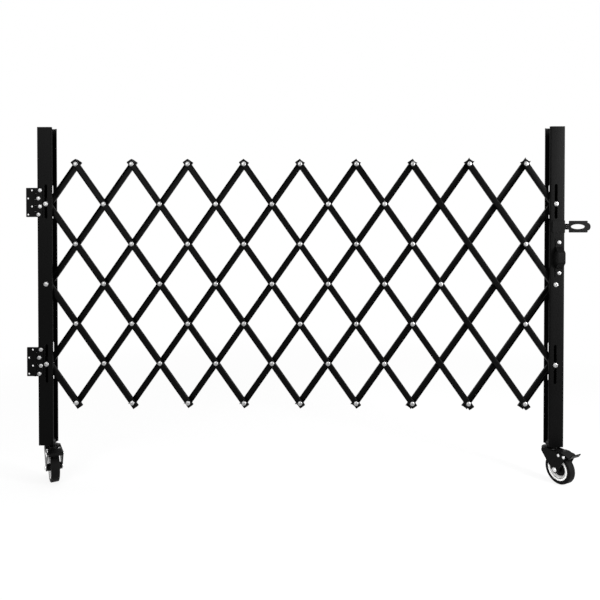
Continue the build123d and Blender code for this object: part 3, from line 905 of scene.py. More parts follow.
@dataclass
class Lattice:
    """The riveted scissor lattice of two layers of channel bars."""

    shop: Workshop
    columns: int = 18
    rows: int = 7
    middle_row: int = 4
    bare_crossings: Sequence[tuple] = (
        (14, 2), (16, 2), (15, 3), (16, 4), (15, 5), (14, 6), (16, 6),
    )
    link_pitch: float = 168.0 * MM
    width: float = 21.0 * MM
    depth: float = 12.0 * MM
    wall: float = 1.5 * MM
    bend: float = 4.5 * MM
    long_overhang: float = 20.0 * MM
    short_overhang: float = 15.0 * MM
    long_ends: Sequence[tuple] = (
        ("rising", 15, 1), ("rising", 17, 1), ("rising", 13, 7), ("rising", 15, 7),
        ("rising", 17, 7), ("falling", 1, 7), ("falling", 3, 7), ("falling", 15, 7),
        ("falling", 17, 7),
    )
    layer_gap: float = 0.15 * MM

    def __post_init__(self) -> None:
        """Work out the grid from the frame's joints."""
        self.first = self.shop.spot("lattice_fold")
        self.column_pitch = (self.shop.spot("right_post_pivot").x - self.first.x) / self.columns
        self.row_pitch = sqrt(self.link_pitch**2 - self.column_pitch**2)
        self.slope = atan2(self.row_pitch, self.column_pitch)
        self.bars = bar_tree()

    def crossing(self, column: int, row: int) -> Vector:
        """Where two bars cross, on the lattice's middle plane."""
        rise = (self.middle_row - row) * self.row_pitch
        return self.first + Vector((column * self.column_pitch, 0, rise))

    def section(self, front: bool) -> bpy.types.Object:
        """Make the channel's section as a flat face at X = 0.

        Args:
            front: Whether the web is to the front.

        Returns:
            An object that the bar tree reads and that is removed after it.
        """
        side = -1 if front else 1
        half, back = self.width / 2, self.layer_gap
        centre = (back + self.depth - self.bend, half - self.bend)
        path = [(back, half), *ring_points(self.bend, centre, CORNER_STEPS, pi / 2, -pi / 2)]
        path += [(y, -z) for y, z in reversed(path)]
        inside = ring_points(self.bend - self.wall, centre, CORNER_STEPS, 0, pi / 2)
        inside.append((back, half - self.wall))
        path += [(y, -z) for y, z in reversed(inside)] + inside
        shape = Shape()
        face = shape.mesh.faces.new([shape.mesh.verts.new((0, side * y, z)) for y, z in path])
        face.normal_update()
        if face.normal.x < 0:
            face.normal_flip()
        return shape.as_object("channel_section")

    def rising(self, number: int) -> list:
        """Crossings of one rising bar.

        Args:
            number: The bar's number, from the left.

        Returns:
            (column, row) pairs from its lower end.
        """
        total = 2 * number
        first, last = max(0, total - self.rows), min(self.columns, total - 1)
        return [(column, total - column) for column in range(first, last + 1)]

    def falling(self, number: int) -> list:
        """Crossings of one falling bar.

        Args:
            number: The bar's number, from the left.

        Returns:
            (column, row) pairs from its upper end.
        """
        less = 2 * number - self.rows - 1
        first, last = max(0, less + 1), min(self.columns, less + self.rows)
        return [(column, column - less) for column in range(first, last + 1)]

    def build(self) -> None:
        """Make every bar and everything that rides on the falling ones."""
        front, rear = self.section(True), self.section(False)
        rivet = RIVET.model("rivet_master", -(self.depth + self.layer_gap))
        bolt = POST_BOLT.model("bolt_master", POST_BOLT_SEAT)
        for number in range(1, (self.columns + self.rows - 1) // 2 + 1):
            places = self.rising(number)
            self._bar("rising", number, places, rear, -self.slope, "bar_black_rear")
            places = self.falling(number)
            self._bar("falling", number, places, front, self.slope, "bar_black")
            self._riders(number, places, rivet, bolt)
        for master in (front, rear, rivet, bolt):
            bpy.data.objects.remove(master)

    def _overhang(self, kind: str, place: tuple) -> float:
        """How far a bar runs past its last crossing: further at some ends and in a post."""
        long = place[0] in (0, self.columns) or (kind, *place) in self.long_ends
        return self.long_overhang if long else self.short_overhang

    def _bar(
        self, kind: str, number: int, places: list, section: bpy.types.Object, slope: float,
        key: str,
    ) -> None:
        """Make one bar over its node.

        Args:
            kind: "rising" or "falling".
            number: The bar's number, from the left.
            places: Its crossings.
            section: The section that is drawn out.
            slope: The bar's turn about Y.
            key: The key of its finish.
        """
        node = f"{kind}_bar_{number:02d}"
        before, after = self._overhang(kind, places[0]), self._overhang(kind, places[-1])
        mesh = self.bars.mesh(
            Section=section, Length=(len(places) - 1) * self.link_pitch + before + after,
            Start=self.crossing(*places[0]) - Vector((cos(slope), 0, -sin(slope))) * before,
            Slope=slope, Material=self.shop.palette.materials[key],
        )
        self.shop.seat(Shape([mesh]), f"{node}_channel", key, node, node)

    def _riders(
        self, number: int, places: list, rivet: bpy.types.Object, bolt: bpy.types.Object
    ) -> None:
        """Make the rivets and sliding bolts of one falling bar.

        Args:
            number: The bar's number, from the left.
            places: Its crossings.
            rivet: The rivets' master.
            bolt: The bolts' master.
        """
        inner = [place for place in places if place[0] not in (0, self.columns)]
        bare = [i for i, place in enumerate(inner) if place in self.bare_crossings] or [1, 0]
        runs = [(inner[0], len(inner), (bare[0], bare[-1]), rivet)] if inner else []
        runs += [
            (place, 1, (1, 0), bolt)
            for place in places if place not in inner and place[1] != self.middle_row
        ]
        meshes = [
            self.shop.row(
                master, "rivet_zinc", self.crossing(*start), self.slope, count,
                self.link_pitch, bare=gap, seed=number,
            )
            for start, count, gap, master in runs
        ]
        self.shop.seat(
            Shape(meshes), f"rivet_row_{number:02d}", "rivet_zinc", f"rivets_{number:02d}",
            f"falling_bar_{number:02d}",
        )


class End(Enum):
    """The two ends of the barrier; the value is the direction from the post to the lattice."""

    LEFT = 1
    RIGHT = -1


@dataclass
class Post:
    """A lipped channel post with its slots and foot plate."""

    shop: Workshop
    end: End
    screw_holes: Outline
    wall: float = 2.0 * MM
    bend: float = 4.0 * MM
    lip: float = 8.0 * MM
    pivot_inset: float = 30.0 * MM
    slot_radius: float = 5.15 * MM
    bolt_radius: float = 5.0 * MM
    screw_radius: float = 2.5 * MM
    foot_thickness: float = 5.0 * MM
    foot_clearance: float = 0.02 * MM
    foot_corner: float = 1.5 * MM
    stem_radius: float = 6.0 * MM
    stem_inset: float = 38.0 * MM
    slot_near: float = 229.2 * MM
    slot_far: float = 334.2 * MM
    upper_spare: float = 3.0 * MM
    lower_spare: float = 18.0 * MM

    def __post_init__(self) -> None:
        """Take the post's place and size from the frame."""
        self.node = f"{self.end.name.lower()}_post"
        low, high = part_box(self.node)
        self.outer = low.x if self.end is End.LEFT else high.x
        self.width, self.low, self.high = high.x - low.x, low.z, high.z
        self.half_depth, self.middle_y = (high.y - low.y) / 2, (low.y + high.y) / 2

    def place(self, u: float, y: float, z: float) -> Vector:
        """From (distance from the outer face, depth, height) to the frame."""
        return Vector((self.outer + self.end.value * u, self.middle_y + y, z))

    def face_on(self, u: float, v: float, w: float) -> Vector:
        """From (distance from the outer face, height, depth) to the frame."""
        return self.place(u, w, v)

    def build(self) -> None:
        """Make the post over its node."""
        shape = Shape()
        self._walls(shape)
        self._flanges(shape)
        self.shop.seat(shape, f"{self.node}_channel", "post_black", self.node, self.node)
        wall, depth = self.wall, self.half_depth - self.wall
        foot = Shape().plate(
            rounded_box(wall, self.width - wall, -depth, depth, self.foot_corner),
            [ring_points(self.stem_radius, (self.stem_inset, 0), HOLE_STEPS)],
            self.low + self.foot_clearance, self.low + self.foot_thickness, self.place,
        )
        self.shop.seat(foot, f"{self.node}_foot_plate", "post_black", self.node, self.node)

    def _walls(self, shape: Shape) -> None:
        """Draw the back wall, the bends and the lips up from the section.

        Args:
            shape: What they are added to.
        """
        corner, lip = self.bend - self.half_depth, self.lip - self.half_depth
        mouth, radii = self.width - self.bend, (self.bend, self.bend - self.wall)
        backs = [
            ring_points(radius, (self.bend, corner), CORNER_STEPS, -pi / 2, -pi / 2)
            for radius in radii
        ]
        self._strip(shape, *[path + [(x, -y) for x, y in reversed(path)] for path in backs])
        mouths = [
            [*ring_points(radius, (mouth, corner), CORNER_STEPS, -pi / 2, pi / 2),
             (mouth + radius, lip)]
            for radius in radii
        ]
        for side in (1, -1):
            self._strip(shape, *[[(x, side * y) for x, y in path] for path in mouths], lipped=True)

    def _strip(
        self, shape: Shape, outside: Outline, inside: Outline, lipped: bool = False
    ) -> None:
        """Add the faces between two matching paths and the post's two ends.

        Args:
            shape: What they are added to.
            outside: The path along the outer faces.
            inside: The path along the inner faces.
            lipped: Whether the last edge is a lip that needs its own face.
        """
        new_vert = shape.mesh.verts.new
        (out_low, in_low), (out_high, in_high) = [
            [[new_vert(self.place(*point, z)) for point in path] for path in (outside, inside)]
            for z in (self.low, self.high)
        ]
        pairs = ((out_low, out_high), (in_low, in_high), (out_low, in_low), (out_high, in_high))
        for i in range(1, len(outside)):
            for first, second in pairs:
                shape.mesh.faces.new((first[i - 1], first[i], second[i], second[i - 1]))
        if lipped:
            shape.mesh.faces.new((out_low[-1], in_low[-1], in_high[-1], out_high[-1]))

    def _flanges(self, shape: Shape) -> None:
        """Add the flat of each flange with its slots and holes.

        Args:
            shape: What they are added to.
        """
        middle, x = self.shop.spot("lattice_fold").z, self.pivot_inset
        slots = (
            (middle + self.slot_near, middle + self.slot_far + self.upper_spare),
            (middle - self.slot_far, middle - self.slot_near + self.lower_spare),
        )
        common = [slot_points((x, low), (x, high), self.slot_radius) for low, high in slots]
        common.append(ring_points(self.bolt_radius, (x, middle), HOLE_STEPS))
        screws = [
            ring_points(self.screw_radius, hole, SMALL_HOLE_STEPS) for hole in self.screw_holes
        ]
        near, far = self.bend, self.width - self.bend
        outline = [(near, self.low), (far, self.low), (far, self.high), (near, self.high)]
        sides = ((-self.half_depth, common + screws), (self.half_depth - self.wall, common))
        for low, holes in sides:
            shape.plate(outline, holes, low, low + self.wall, self.face_on, (0, 2))


@dataclass(frozen=True)
class Leaf:
    """One kind of hinge leaf."""

    kind: str
    body: str
    side: int
    reach: float
    first_knuckle: int
    hole_offsets: Point
    hole_radius: float
    hole_steps: int


WALL_LEAF = Leaf("wall", "wall", -1, 29.4 * MM, 0, (9.6 * MM, 22.6 * MM), 3.0 * MM,
                 HOLE_STEPS)
POST_LEAF = Leaf("post", "left_post", 1, 26.5 * MM, 1, (18.6 * MM, 13.0 * MM),
                 2.5 * MM, SMALL_HOLE_STEPS)


@dataclass
class WallHinges:
    """Two butt hinges: leaves, pins and the screws of the post leaves."""

    shop: Workshop
    barrel_steps: int = 28
    barrel_radius: float = 4.0 * MM
    barrel_ease: float = 0.4 * MM
    pin_radius: float = 2.0 * MM
    pin_ease: float = 0.5 * MM
    knuckles: int = 5
    height: float = 100.0 * MM
    thickness: float = 2.5 * MM
    gap: float = 0.3 * MM
    bore_gap: float = 0.05 * MM
    hole_pitch: float = 27.6 * MM
    holes: int = 4
    corner: float = 2.0 * MM
    corner_steps: int = 5
    leaf_bevel: float = 0.25 * MM
    first_seed: int = 3

    def __post_init__(self) -> None:
        """Find the barrel line and the two hinges' middles from the frame."""
        self.axis = self.shop.spot("gate_swing")
        self.middles = {
            level: sum(corner.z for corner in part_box(f"{level}_wall_leaf")) / 2
            for level in ("upper", "lower")
        }

    def rows(self, level: str) -> list:
        """Heights of the fixing holes, from the top down."""
        top = self.middles[level] + (self.holes - 1) / 2 * self.hole_pitch
        return [top - step * self.hole_pitch for step in range(self.holes)]

    def screw_places(self) -> list:
        """Places of the screws in the post.

        Returns:
            (distance from the post's outer face, height) of every screw.
        """
        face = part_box("left_post")[0].x
        return [
            (self.axis.x + POST_LEAF.hole_offsets[index % 2] - face, z)
            for level in self.middles for index, z in enumerate(self.rows(level))
        ]

    def build(self) -> None:
        """Make both hinges."""
        for level in self.middles:
            self._leaf(level, WALL_LEAF)
            self._leaf(level, POST_LEAF)
        self._pins()
        self._screws()

    def _about(self, x: float, y: float, z: float) -> Vector:
        """From coordinates about the barrel line to the frame."""
        return Vector((self.axis.x + x, self.axis.y + y, z))

    def _leaf(self, level: str, leaf: Leaf) -> None:
        """Make one leaf with its knuckles.

        Args:
            level: "upper" or "lower".
            leaf: Which kind of leaf.
        """
        middle, corner, steps = self.middles[level], self.corner, self.corner_steps
        low, high = middle - self.height / 2, middle + self.height / 2
        span = self.height / self.knuckles
        spans = [
            (low + index * span + self.gap / 2, low + (index + 1) * span - self.gap / 2)
            for index in range(leaf.first_knuckle, self.knuckles, 2)
        ]
        clear, inset = self.barrel_radius + self.gap, self.pin_radius + self.gap
        end = leaf.reach - corner
        outline = [(clear, low)]
        outline += ring_points(corner, (end, low + corner), steps, -pi / 2, pi / 2)
        outline += ring_points(corner, (end, high - corner), steps, 0, pi / 2)
        outline += [(clear, high)]
        for bottom, top in reversed(spans):
            outline += [(clear, top), (inset, top), (inset, bottom), (clear, bottom)]
        holes = [
            ring_points(leaf.hole_radius, (leaf.hole_offsets[index % 2], z), leaf.hole_steps)
            for index, z in enumerate(self.rows(level))
        ]
        plate = Shape().plate(
            outline, holes, 0, self.thickness, lambda u, v, w: self._about(leaf.side * u, w, v)
        )
        barrel, ease, bore = Shape(), self.barrel_ease, self.pin_radius + self.bore_gap
        for bottom, top in spans:
            profile = spindle(self.barrel_radius, bottom, top, (ease, ease), bore)
            barrel.turned(profile, self._about, self.barrel_steps, True)
        name, seat, key = f"{level}_{leaf.kind}_leaf", self.shop.seat, "hinge_black"
        seat(plate, f"{name}_plate", key, name, leaf.body, bevel=self.leaf_bevel)
        seat(barrel, f"{name}_barrel", key, name, leaf.body, SMOOTH_BARREL)

    def _pins(self) -> None:
        """Make both hinge pins, with eased ends."""
        shape, half, ease = Shape(), self.height / 2, self.pin_ease
        for middle in self.middles.values():
            profile = spindle(self.pin_radius, middle - half, middle + half, (ease, ease))
            shape.turned(profile, self._about, HOLE_STEPS)
        self.shop.seat(
            shape, "hinge_pin_pair", "fastener_zinc", "hinge_pins", "wall", SMOOTH_BARREL
        )

    def _screws(self) -> None:
        """Make the eight screws of the post leaves, with the post's own middle bolt."""
        master = SMALL_SCREW.model("screw_master", 0.0)
        far, near = POST_LEAF.hole_offsets
        meshes = [
            self.shop.row(
                master, "fastener_zinc", self._about(far, 0, self.rows(level)[0]), pi / 2,
                self.holes, self.hole_pitch, near - far, seed=seed,
            )
            for seed, level in enumerate(self.middles, self.first_seed)
        ]
        bpy.data.objects.remove(master)
        meshes.append(self.shop.middle_bolt("lattice_fold"))
        self.shop.seat(
            Shape(meshes), "left_post_screws_and_bolt", "fastener_zinc",
            "left_post_fasteners", "left_post",
        )


@dataclass
class Latch:
    """The hasp and the pull handle on the right post, with their screws."""

    shop: Workshop
    thickness: float = 2.5 * MM
    pin_steps: int = 20
    strap_corner_steps: int = 5
    nose_steps: int = 20
    oval_steps: int = 40
    screw_seed: int = 8
    plate_corner: float = 4.0 * MM
    plate_inset: float = 0.4 * MM
    plate_bevel: float = 0.3 * MM
    barrel_steps: int = 28
    barrel_radius: float = 4.0 * MM
    pin_radius: float = 2.0 * MM
    bore_gap: float = 0.05 * MM
    ease: float = 0.4 * MM
    neck_height: float = 20.0 * MM
    middle_knuckle: float = 8.0 * MM
    gap: float = 0.3 * MM
    tab_start: float = 2.2 * MM
    plate_tab: float = 5.0 * MM
    strap_tab: float = 7.0 * MM
    tab_inset: float = 0.01 * MM
    strap_start: float = 4.6 * MM
    strap_corners: Point = (2.0 * MM, 3.0 * MM)
    hole_offset: float = 30.0 * MM
    hole_length: float = 47.0 * MM
    hole_height: float = 16.5 * MM
    nose_setback: float = 3.0 * MM
    nose_reach: float = 10.0 * MM
    nose_height: float = 26.0 * MM
    hump_base: float = 72.0 * MM
    hump_top: float = 33.0 * MM
    hump_out: float = 22.0 * MM
    handle_bend: float = 5.0 * MM
    handle_bevel: float = 0.5 * MM
    screw_spacing: float = 104.0 * MM

    def __post_init__(self) -> None:
        """Find the hasp's barrel, the post's faces and the handle from the frame."""
        self.axis = self.shop.spot("hasp_swing")
        low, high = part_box("right_post")
        self.front, self.outer = low.y, high.x
        self.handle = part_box("pull_handle")
        self.handle_middle = (self.handle[0] + self.handle[1]) / 2

    def screw_places(self) -> list:
        """(distance from the post's outer face, height) of the handle's two screws."""
        middle, half = self.handle_middle, self.screw_spacing / 2
        return [(self.outer - middle.x, middle.z + rise) for rise in (-half, half)]

    def on_post(self, u: float, v: float, w: float) -> Vector:
        """From (along X, height, distance before the post) to the frame."""
        return Vector((u, self.front - w, v))

    def about(self, x: float, y: float, z: float) -> Vector:
        """From coordinates about the barrel to the frame."""
        return self.axis + Vector((x, y, z))

    def build(self) -> None:
        """Make the plate, the strap, the handle and the fixings."""
        self._plate()
        self._strap()
        self._handle()
        self._fixings()

    def _seat(
        self, shape: Shape, name: str, node: str, body: str, smooth_angle: float = SMOOTH_PLATE,
        bevel: float = 0.0,
    ) -> None:
        """Make a shape one black piece of the latch."""
        self.shop.seat(shape, name, "hasp_black", node, body, smooth_angle, bevel)

    def _knuckle(self, shape: Shape, low: float, high: float) -> None:
        """Add a length of barrel.

        Args:
            shape: What it is added to.
            low: Its lower end, from the hasp's middle.
            high: Its upper end.
        """
        bore, chamfer = self.pin_radius + self.bore_gap, (self.ease, self.ease)
        profile = spindle(self.barrel_radius, low, high, chamfer, bore)
        shape.turned(profile, self.about, self.barrel_steps, True)

    def _tab(self, shape: Shape, start: float, end: float, low: float, high: float) -> None:
        """Add a flat tongue that joins a plate to its knuckle.

        Args:
            shape: What it is added to.
            start: Where it starts, from the barrel's line.
            end: Where it ends.
            low: Its lower edge, from the hasp's middle.
            high: Its upper edge.
        """
        shape.plate(
            [(start, low), (end, low), (end, high), (start, high)], [], self.tab_inset,
            self.thickness - self.tab_inset, lambda u, v, w: self.about(u, w, v),
        )

    def _plate(self) -> None:
        """Make the welded plate, its knuckles and the pin."""
        low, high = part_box("hasp_plate")
        edge = self.outer - self.plate_inset
        inner, outer = self.middle_knuckle / 2, self.neck_height / 2
        middle, reach = self.axis.z, self.axis.x - self.barrel_radius - self.gap
        corner = self.plate_corner
        left, bottom, top = low.x + corner, low.z + corner, high.z - corner
        outline = [
            (edge, low.z), (edge, middle - outer), (reach, middle - outer),
            (reach, middle + outer), (edge, middle + outer), (edge, high.z),
            *ring_points(corner, (left, top), CORNER_STEPS, pi / 2, pi / 2),
            *ring_points(corner, (left, bottom), CORNER_STEPS, pi, pi / 2),
        ]
        plate, barrel = Shape().plate(outline, [], 0, self.thickness, self.on_post), Shape()
        for start, end in ((-outer, -inner), (inner, outer)):
            self._tab(plate, -self.plate_tab, -self.tab_start, start, end)
            self._knuckle(barrel, start, end)
        profile = spindle(self.pin_radius, -outer, outer, (self.ease, self.ease))
        pin = Shape().turned(profile, self.about, self.pin_steps)
        node, body = "hasp_plate", "right_post"
        self._seat(plate, "hasp_back_plate", node, body, bevel=self.plate_bevel)
        self._seat(barrel, "hasp_back_plate_barrel", node, body, SMOOTH_BARREL)
        self._seat(pin, "hasp_pin", node, body, SMOOTH_BARREL)

    def _strap(self) -> None:
        """Make the swinging strap: square shoulders, a narrower round nose, an oval hole."""
        low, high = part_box("hasp_strap")
        (near, far), steps = self.strap_corners, self.strap_corner_steps
        start, middle = self.axis.x + self.strap_start, (high.z + low.z) / 2
        shoulder = high.x - self.nose_setback - self.nose_reach
        nose = ring_points(1.0, steps=self.nose_steps, start=-pi / 2, sweep=pi)
        outline = [
            *ring_points(near, (start + near, low.z + near), steps, pi, pi / 2),
            *ring_points(far, (shoulder - far, low.z + far), steps, -pi / 2, pi / 2),
            *[(shoulder + self.nose_reach * x, middle + self.nose_height / 2 * y) for x, y in nose],
            *ring_points(far, (shoulder - far, high.z - far), steps, 0, pi / 2),
            *ring_points(near, (start + near, high.z - near), steps, pi / 2, pi / 2),
        ]
        oval = [
            (start + self.hole_offset + self.hole_length / 2 * x, middle + self.hole_height / 2 * y)
            for x, y in ring_points(1.0, steps=self.oval_steps)
        ]
        strap = Shape().plate(outline, [oval], 0, self.thickness, self.on_post)
        barrel, half = Shape(), self.middle_knuckle / 2 - self.gap
        self._tab(strap, self.tab_start, self.strap_tab, -half, half)
        self._knuckle(barrel, -half, half)
        node = "hasp_strap"
        self._seat(strap, "hasp_strap_plate", node, node, bevel=self.plate_bevel)
        self._seat(barrel, "hasp_strap_barrel", node, node, SMOOTH_BARREL)

    def _handle(self) -> None:
        """Make the bent strap handle."""
        low, high = self.handle
        middle, out = self.handle_middle.z, self.hump_out
        foot, base, top = (high.z - low.z) / 2, self.hump_base / 2, self.hump_top / 2
        corners = [(0, -foot), (0, -base), (out, -top), (out, top), (0, base), (0, foot)]
        outline = thickened(softened(corners, self.handle_bend), self.thickness)
        shape = Shape().plate(
            outline, [], low.x, high.x, lambda u, v, w: self.on_post(w, middle + v, u)
        )
        self._seat(
            shape, "pull_handle_strap", "pull_handle", "right_post", bevel=self.handle_bevel
        )

    def _fixings(self) -> None:
        """Make the handle's two screws and the post's middle bolt."""
        master = SMALL_SCREW.model("handle_screw_master", 0.0)
        middle, spacing = self.handle_middle, self.screw_spacing
        start = self.on_post(middle.x, middle.z + spacing / 2, self.thickness)
        meshes = [
            self.shop.row(
                master, "fastener_zinc", start, pi / 2, 2, spacing, seed=self.screw_seed
            ),
            self.shop.middle_bolt("right_post_pivot"),
        ]
        bpy.data.objects.remove(master)
        self.shop.seat(
            Shape(meshes), "right_post_screws_and_bolt", "fastener_zinc",
            "right_post_fasteners", "right_post",
        )


@dataclass
class Caster:
    """One braked swivel caster."""

    shop: Workshop
    side: str
    stem_steps: int = 40
    crown_steps: int = 56
    crown_edge_steps: int = 5
    wheel_steps: int = 72
    tread_steps: int = 7
    shank_steps: int = 24
    head_steps: int = 32
    dome_steps: int = 6
    hole_steps: int = 20
    ear_steps: int = 24
    shoe_steps: int = 16
    gap: float = 0.3 * MM
    mount_height: float = 116.0 * MM
    stem_radius: float = 6.0 * MM
    stem_length: float = 14.0 * MM
    thread_depth: float = 0.35 * MM
    thread_pitch: float = 1.5 * MM
    thread_flat: float = 0.3 * MM
    plate_thickness: float = 5.0 * MM
    shoulder_radius: float = 8.0 * MM
    shoulder_height: float = 6.0 * MM
    stem_ease: float = 0.8 * MM
    kingpin_radius: float = 11.0 * MM
    kingpin_height: float = 3.0 * MM
    kingpin_ease: float = 1.0 * MM
    nut_radius: float = 10.5 * MM
    nut_height: float = 8.0 * MM
    nut_chamfer: Point = (1.0 * MM, 0.8 * MM)
    crown_radius: float = 25.0 * MM
    crown_thickness: float = 8.0 * MM
    crown_edge: float = 4.0 * MM
    crown_ease: float = 1.0 * MM
    fork_gap: float = 46.0 * MM
    fork_thickness: float = 3.0 * MM
    fork_bevel: float = 1.0 * MM
    foot_radius: float = 12.0 * MM
    nose_radius: float = 5.6 * MM
    heel_radius: float = 9.0 * MM
    heel_x: float = -3.0 * MM
    lock_pin: Point = (58.0 * MM, 103.0 * MM)
    axle_radius: float = 4.0 * MM
    axle_head: Point = (8.0 * MM, 5.5 * MM, 0.75)
    pin_radius: float = 3.0 * MM
    pin_head: Point = (5.0 * MM, 2.5 * MM, 0.9)
    wheel_width: float = 28.0 * MM
    rim_inner: float = 31.6 * MM
    rim_width: float = 26.0 * MM
    rim_lip: float = 3.0 * MM
    rim_ease: float = 0.6 * MM
    # White ring on each side of the dark web's conical wall: a painted reflection, as (radius,
    # depth) in mm.
    reflection_ring_profile_mm: Outline = (
        (23.8, 3.9), (28.6, 10.9), (29.8, 10.9), (29.8, 10.0), (24.6, 3.6),
    )
    core_profile_mm: Outline = (
        (4.2, 22.0), (10.5, 22.0), (12.0, 20.5), (12.0, 7.5), (12.6, 6.0), (14.0, 5.0),
        (23.0, 3.0), (24.2, 3.5), (28.4, 9.4), (31.8, 10.4),
    )
    tyre_inner: float = 38.0 * MM
    tyre_edge: Point = (1.5 * MM, 1.0 * MM)
    tread_shoulder: float = 5.0 * MM
    tread_flare: float = 0.7
    pedal_width: float = 44.0 * MM
    pedal_thickness: float = 3.0 * MM
    pedal_line: Outline = (
        (48.0 * MM, 112.5 * MM), (62.0 * MM, 113.5 * MM), (96.2 * MM, 104.6 * MM),
        (105.7 * MM, 118.0 * MM),
    )
    pedal_bend: float = 5.0 * MM
    pedal_bevels: Point = (0.8 * MM, 0.4 * MM)
    ear_radius: float = 5.2 * MM
    shoe_root_radius: float = 3.0 * MM
    shoe_tip: Point = (79.0 * MM, 92.0 * MM)
    shoe_radius: float = 1.5 * MM
    shoe_width: float = 14.0 * MM
    cheek_setback: float = 7.0 * MM

    def __post_init__(self) -> None:
        """Find the swivel, the axle and the pedal's pin from the frame."""
        self.swivel, axle, pin = (
            self.shop.spot(f"{self.side}_{joint}") for joint in ("swivel", "wheel_spin", "brake")
        )
        flat = Vector((axle.x - self.swivel.x, axle.y - self.swivel.y, 0))
        self.ahead = flat.normalized()
        self.across = Vector((-self.ahead.y, self.ahead.x, 0))
        self.axle = (flat.length, axle.z)
        pin_reach = Vector((pin.x - self.swivel.x, pin.y - self.swivel.y, 0)).length
        self.pedal_pin = (pin_reach, pin.z)
        self.crown_top = self.mount_height - self.shoulder_height - self.gap
        self.crown_bottom = self.crown_top - self.crown_thickness

    def at(self, x: float, y: float, z: float) -> Vector:
        """From (along the trail, across, height) to the frame."""
        origin = Vector((self.swivel.x, self.swivel.y, 0))
        return origin + self.ahead * x + self.across * y + Vector((0, 0, z))

    def side_on(self, u: float, v: float, w: float) -> Vector:
        """From (along the trail, height, across) to the frame."""
        return self.at(u, w, v)

    def about_axle(self, u: float, v: float, w: float) -> Vector:
        """From coordinates about the axle to the frame."""
        return self.at(self.axle[0] + u, w, self.axle[1] + v)

    def build(self) -> None:
        """Make the caster's six nodes."""
        self._stem()
        self._fork()
        self._bolts()
        self._core()
        self._tyre()
        self._pedal()

    def _seat(
        self, shape: Shape, name: str, key: str, node: str, body: str,
        smooth_angle: float = SMOOTH_PLATE, bevel: float = 0.0,
    ) -> None:
        """Make a shape one piece of this side's caster."""
        name, node, body = (f"{self.side}_{word}" for word in (name, node, body))
        self.shop.seat(shape, name, key, node, body, smooth_angle, bevel)

    def _stem(self) -> None:
        """Make the kingpin, the shoulder and the threaded stem with its nut."""
        top, neck, ease = self.mount_height, self.stem_radius, self.stem_ease
        base = top + self.plate_thickness
        end, root = base + self.stem_length, neck - self.thread_depth
        pitch, start, thread = self.thread_pitch, self.thread_flat / 2, []
        for i in range(int((end - top) / pitch)):
            z = top + i * pitch
            thread += [(root, z + start), (neck, z + pitch / 2), (root, z + pitch - start)]
        flange, king, turn = self.crown_bottom - self.gap, self.kingpin_radius, self.kingpin_ease
        foot, low = flange - self.kingpin_height, top - self.shoulder_height
        shoulder = spindle(self.shoulder_radius, low, top, (ease, ease), neck)[:-1]
        profile = [
            (0, foot), (king - turn, foot), (king, foot + turn), (king, flange),
            (neck, flange), *shoulder, *thread, (0, end),
        ]
        stem = Shape().turned(profile, self.at, self.stem_steps)
        nut_top = base + self.nut_height
        nut_profile = spindle(self.nut_radius, base, nut_top, self.nut_chamfer, neck)
        key, node, body = "stem_zinc", "caster_stem", "post"
        self._seat(stem, "kingpin_and_stem", key, node, body, SMOOTH_TURNED)
        nut = Shape().turned(nut_profile, self.at, NUT_SIDES, True)
        self._seat(nut, "stem_nut", key, node, body, SMOOTH_NUT)

    def _fork(self) -> None:
        """Make two pressed legs under a round crown."""
        half, thick = self.fork_gap / 2, self.fork_thickness
        outline = hull([
            *ring_points(self.foot_radius, self.axle),
            *ring_points(self.nose_radius, self.pedal_pin),
            *ring_points(self.heel_radius, (self.heel_x, self.crown_top - self.heel_radius)),
        ])
        holes = [ring_points(self.axle_radius, self.axle, self.hole_steps)]
        holes += [
            ring_points(self.pin_radius, pin, SMALL_HOLE_STEPS)
            for pin in (self.lock_pin, self.pedal_pin)
        ]
        legs = Shape()
        for low in (-half - thick, half):
            legs.plate(outline, holes, low, low + thick, self.side_on)
        bore, radius = self.stem_radius + self.gap / 2, self.crown_radius
        edge, ease, low, high = self.crown_edge, self.crown_ease, self.crown_bottom, self.crown_top
        rim = [
            (radius - edge * (1 - cos(a)), high - edge * (1 - sin(a)))
            for a in quarter(self.crown_edge_steps)
        ]
        profile = [(bore, low), (radius - ease, low), (radius, low + ease), *rim, (bore, high)]
        crown = Shape().turned(profile, self.at, self.crown_steps, True)
        key, node, body = "fork_black", "caster_fork", "fork"
        self._seat(legs, "fork_legs", key, node, body, bevel=self.fork_bevel)
        self._seat(crown, "fork_crown", key, node, body, SMOOTH_TURNED)

    def _bolts(self) -> None:
        """Make the axle bolt with its two domed caps, and the two brake pins."""
        shape = Shape()
        self._pin(shape, self.axle, self.axle_radius, *self.axle_head)
        for centre in (self.lock_pin, self.pedal_pin):
            self._pin(shape, centre, self.pin_radius, *self.pin_head)
        name, key, node = "axle_and_pins", "bright_zinc", "caster_bolts"
        self._seat(shape, name, key, node, "fork", SMOOTH_CAP)

    def _pin(
        self, shape: Shape, centre: Point, radius: float, head: float, height: float,
        dome_share: float,
    ) -> None:
        """Add a shank across the fork with a domed head outside each leg.

        Args:
            shape: What it is added to.
            centre: Where it crosses the fork, as (along the trail, height).
            radius: Of the shank.
            head: Radius of the heads.
            height: Height of the heads.
            dome_share: How much of that height is domed.
        """
        half, dome_height = self.fork_gap / 2 + self.fork_thickness, height * dome_share

        def about(x: float, y: float, z: float) -> Vector:
            """From coordinates about the pin to the frame."""
            return self.at(centre[0] + x, z, centre[1] + y)

        shank = [(0, -half), (radius, -half), (radius, half), (0, half)]
        shape.turned(shank, about, self.shank_steps)
        for side in (-1, 1):
            dome = [
                (head * cos(a), side * (half + height - dome_height + dome_height * sin(a)))
                for a in quarter(self.dome_steps)[:-1]
            ]
            profile = [(0, side * half), (head, side * half), *dome, (0, side * (half + height))]
            shape.turned(profile, about, self.head_steps)

